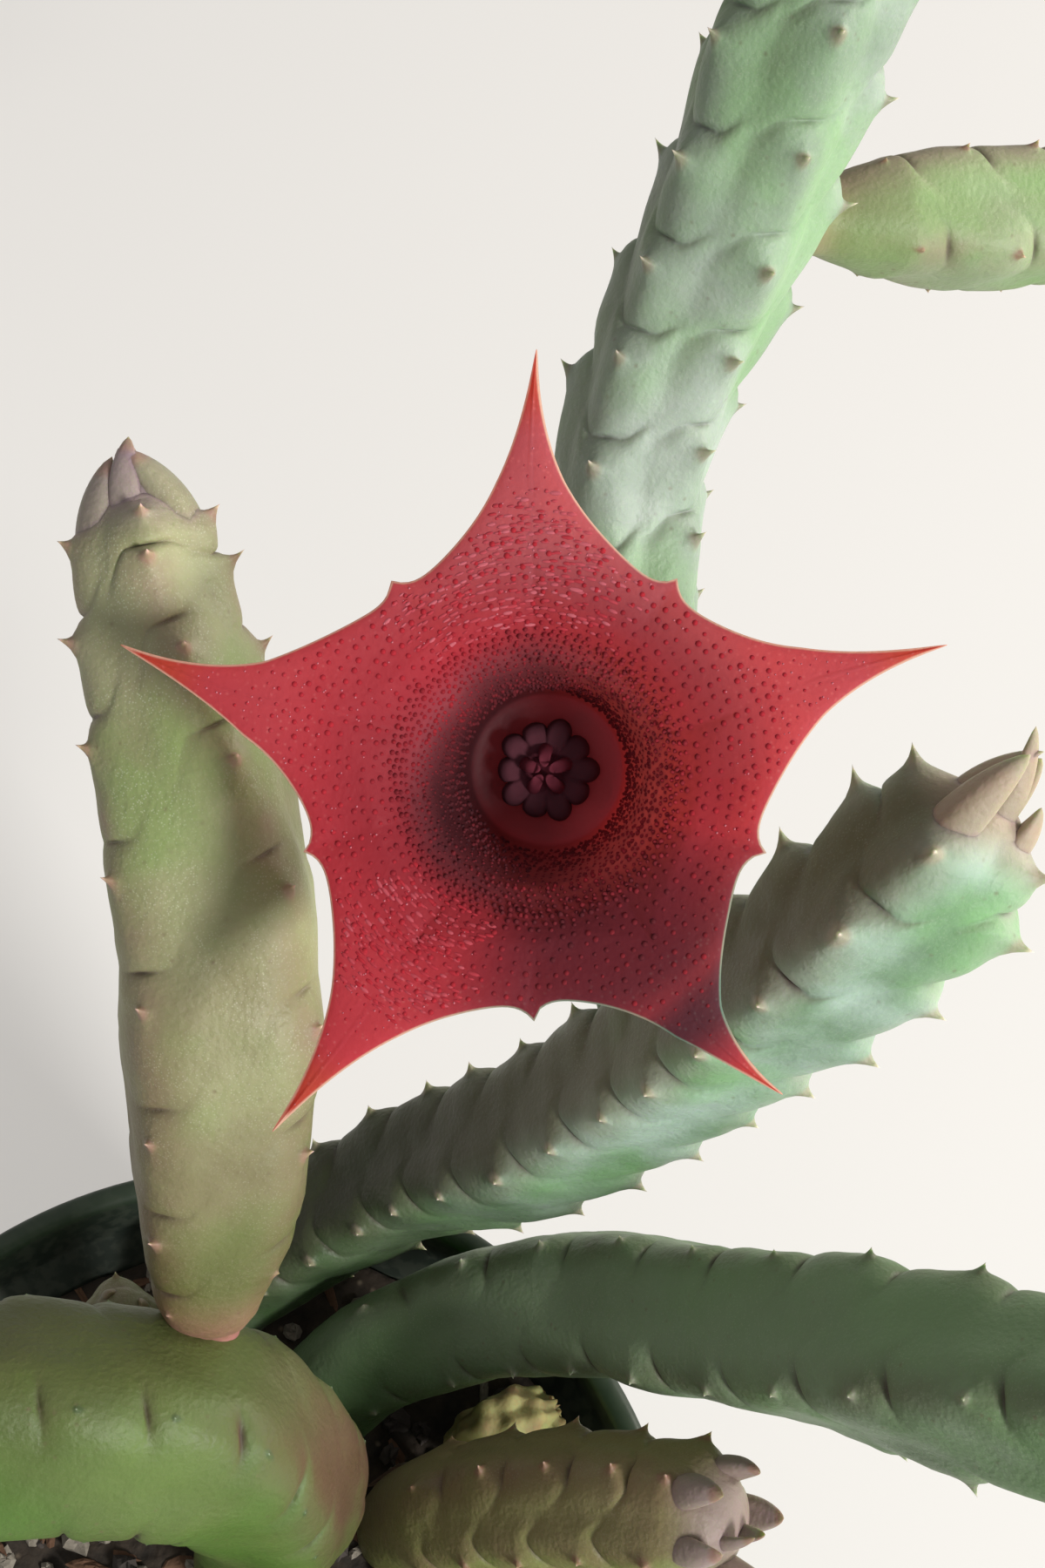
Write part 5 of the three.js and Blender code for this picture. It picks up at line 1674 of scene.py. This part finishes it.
# %% Husk material
def husk_material():
    material, tree, paper = new_material("husk_paper")
    stain = use(tree, mottle, "Mask", Scale=500, Contrast=0.2, Seed=91)
    colour = tint(tree, stain, (0.27, 0.28, 0.1), (0.2, 0.14, 0.06))
    join(tree, colour, paper.inputs["Base Color"])
    paper.inputs["Roughness"].default_value = 0.75
    bump(tree, paper, use(tree, grain, "Height", Scale=1500, Coarse_Share=0.5, Seed=92), 0.25 * mm, 1.0)
    paper.inputs["Subsurface Weight"].default_value = 0.3
    paper.inputs["Subsurface Scale"].default_value = 1.5 * mm
    return material


husk_paper = husk_material()
print("husk paper:", len(husk_paper.node_tree.nodes), "nodes")

# %% The husk
husk_place = Vector((21.5, 13.8, 56.6))
husk_half_sizes = (5.0, 3.0, 3.4)


def make_husk():
    tilt = np.linspace(0.03, math.pi - 0.03, 40)[:, None]
    turn = np.linspace(0, 2 * math.pi, 72, endpoint=False)[None, :]
    pleat = 1 + 0.16 * np.abs(np.sin(2.5 * turn + 1.2 * np.cos(tilt))) * np.sin(tilt) - 0.08
    crumple = 1 + 0.05 * np.sin(9 * turn + 5 * tilt) + 0.04 * np.sin(13 * tilt - 4 * turn)
    end = np.cos(tilt) * np.ones_like(turn)
    ball = np.stack([end, np.sin(tilt) * np.cos(turn), np.sin(tilt) * np.sin(turn)], -1)
    points = ball * (pleat * crumple)[..., None] * husk_half_sizes
    turned = Matrix.Rotation(0.5, 3, "Z") @ Matrix.Rotation(0.1, 3, "Y") @ Matrix.Rotation(0.2, 3, "X")
    shape = Shape()
    shape.add_rings((points @ np.array(turned).T + np.array(husk_place)) * mm)
    finish_piece(shape.object("husk_scrap", husk_paper), "husk", "husk_dry")


make_husk()

# %% [markdown]
# The studio is a plain pale floor, an even pale sky and two soft lamps. The main one stands low at
# the front right, like a window beside the table: it lights the right flanks of the stems, and the
# flower's shadow falls on the left stem. The second is behind on the right, and its warm light comes
# through the petals. The floor also glows a little, a painted light that lifts the shadows on it.

# %% Floor
def make_floor():
    reach = 4.0  # metres each way
    corners = np.array([(-reach, -reach, 0), (reach, -reach, 0), (reach, reach, 0), (-reach, reach, 0)])
    mesh = bpy.data.meshes.new("floor")
    mesh.from_pydata(corners.tolist(), [], [(0, 1, 2, 3)])
    made = bpy.data.objects.new("floor", mesh)
    bpy.context.scene.collection.objects.link(made)
    material, tree, shader = new_material("pale_glowing_floor")
    cloud_mask = use(tree, mottle, "Mask", Scale=5, Contrast=0.5, Seed=95)
    colour = tint(tree, cloud_mask, (0.6, 0.59, 0.575), (0.63, 0.622, 0.61))
    join(tree, colour, shader.inputs["Base Color"])
    shader.inputs["Roughness"].default_value = 0.8
    # painted light: the floor glows faintly, lifting the shadows cast on it and lighting the plant from below
    shader.inputs["Emission Color"].default_value = (1.0, 0.98, 0.97, 1)
    shader.inputs["Emission Strength"].default_value = 0.17
    mesh.materials.append(material)
    print("floor:", 2 * reach, "m wide")


make_floor()


# %% Sky and lamps
lamp_aim = Vector((20, 25, 110)) * mm


def add_lamp(name, direction, distance, size, power, colour):
    """A square area lamp that looks at the middle of the plant, from a direction and distance in metres."""
    data = bpy.data.lights.new(name, "AREA")
    data.size = size
    data.energy = power
    data.color = colour
    lamp = bpy.data.objects.new(name, data)
    lamp.location = lamp_aim + Vector(direction).normalized() * distance
    lamp.rotation_euler = (lamp_aim - lamp.location).to_track_quat("-Z", "Y").to_euler()
    bpy.context.scene.collection.objects.link(lamp)
    print(f"{name}: {power} W at {distance} m")


sky = bpy.data.worlds.new("sky")
bpy.context.scene.world = sky
sky.use_nodes = True
background = sky.node_tree.nodes["Background"]
background.inputs["Color"].default_value = (1.0, 0.985, 0.965, 1)
background.inputs["Strength"].default_value = 0.42
add_lamp("window", (0.60, -0.66, 0.45), 1.1, 0.2, 14.0, (1.0, 0.985, 0.95))
add_lamp("back_light", (0.9, 0.36, 0.22), 1.0, 0.35, 8.0, (1.0, 0.94, 0.85))
bpy.context.scene.view_settings.view_transform = "Standard"
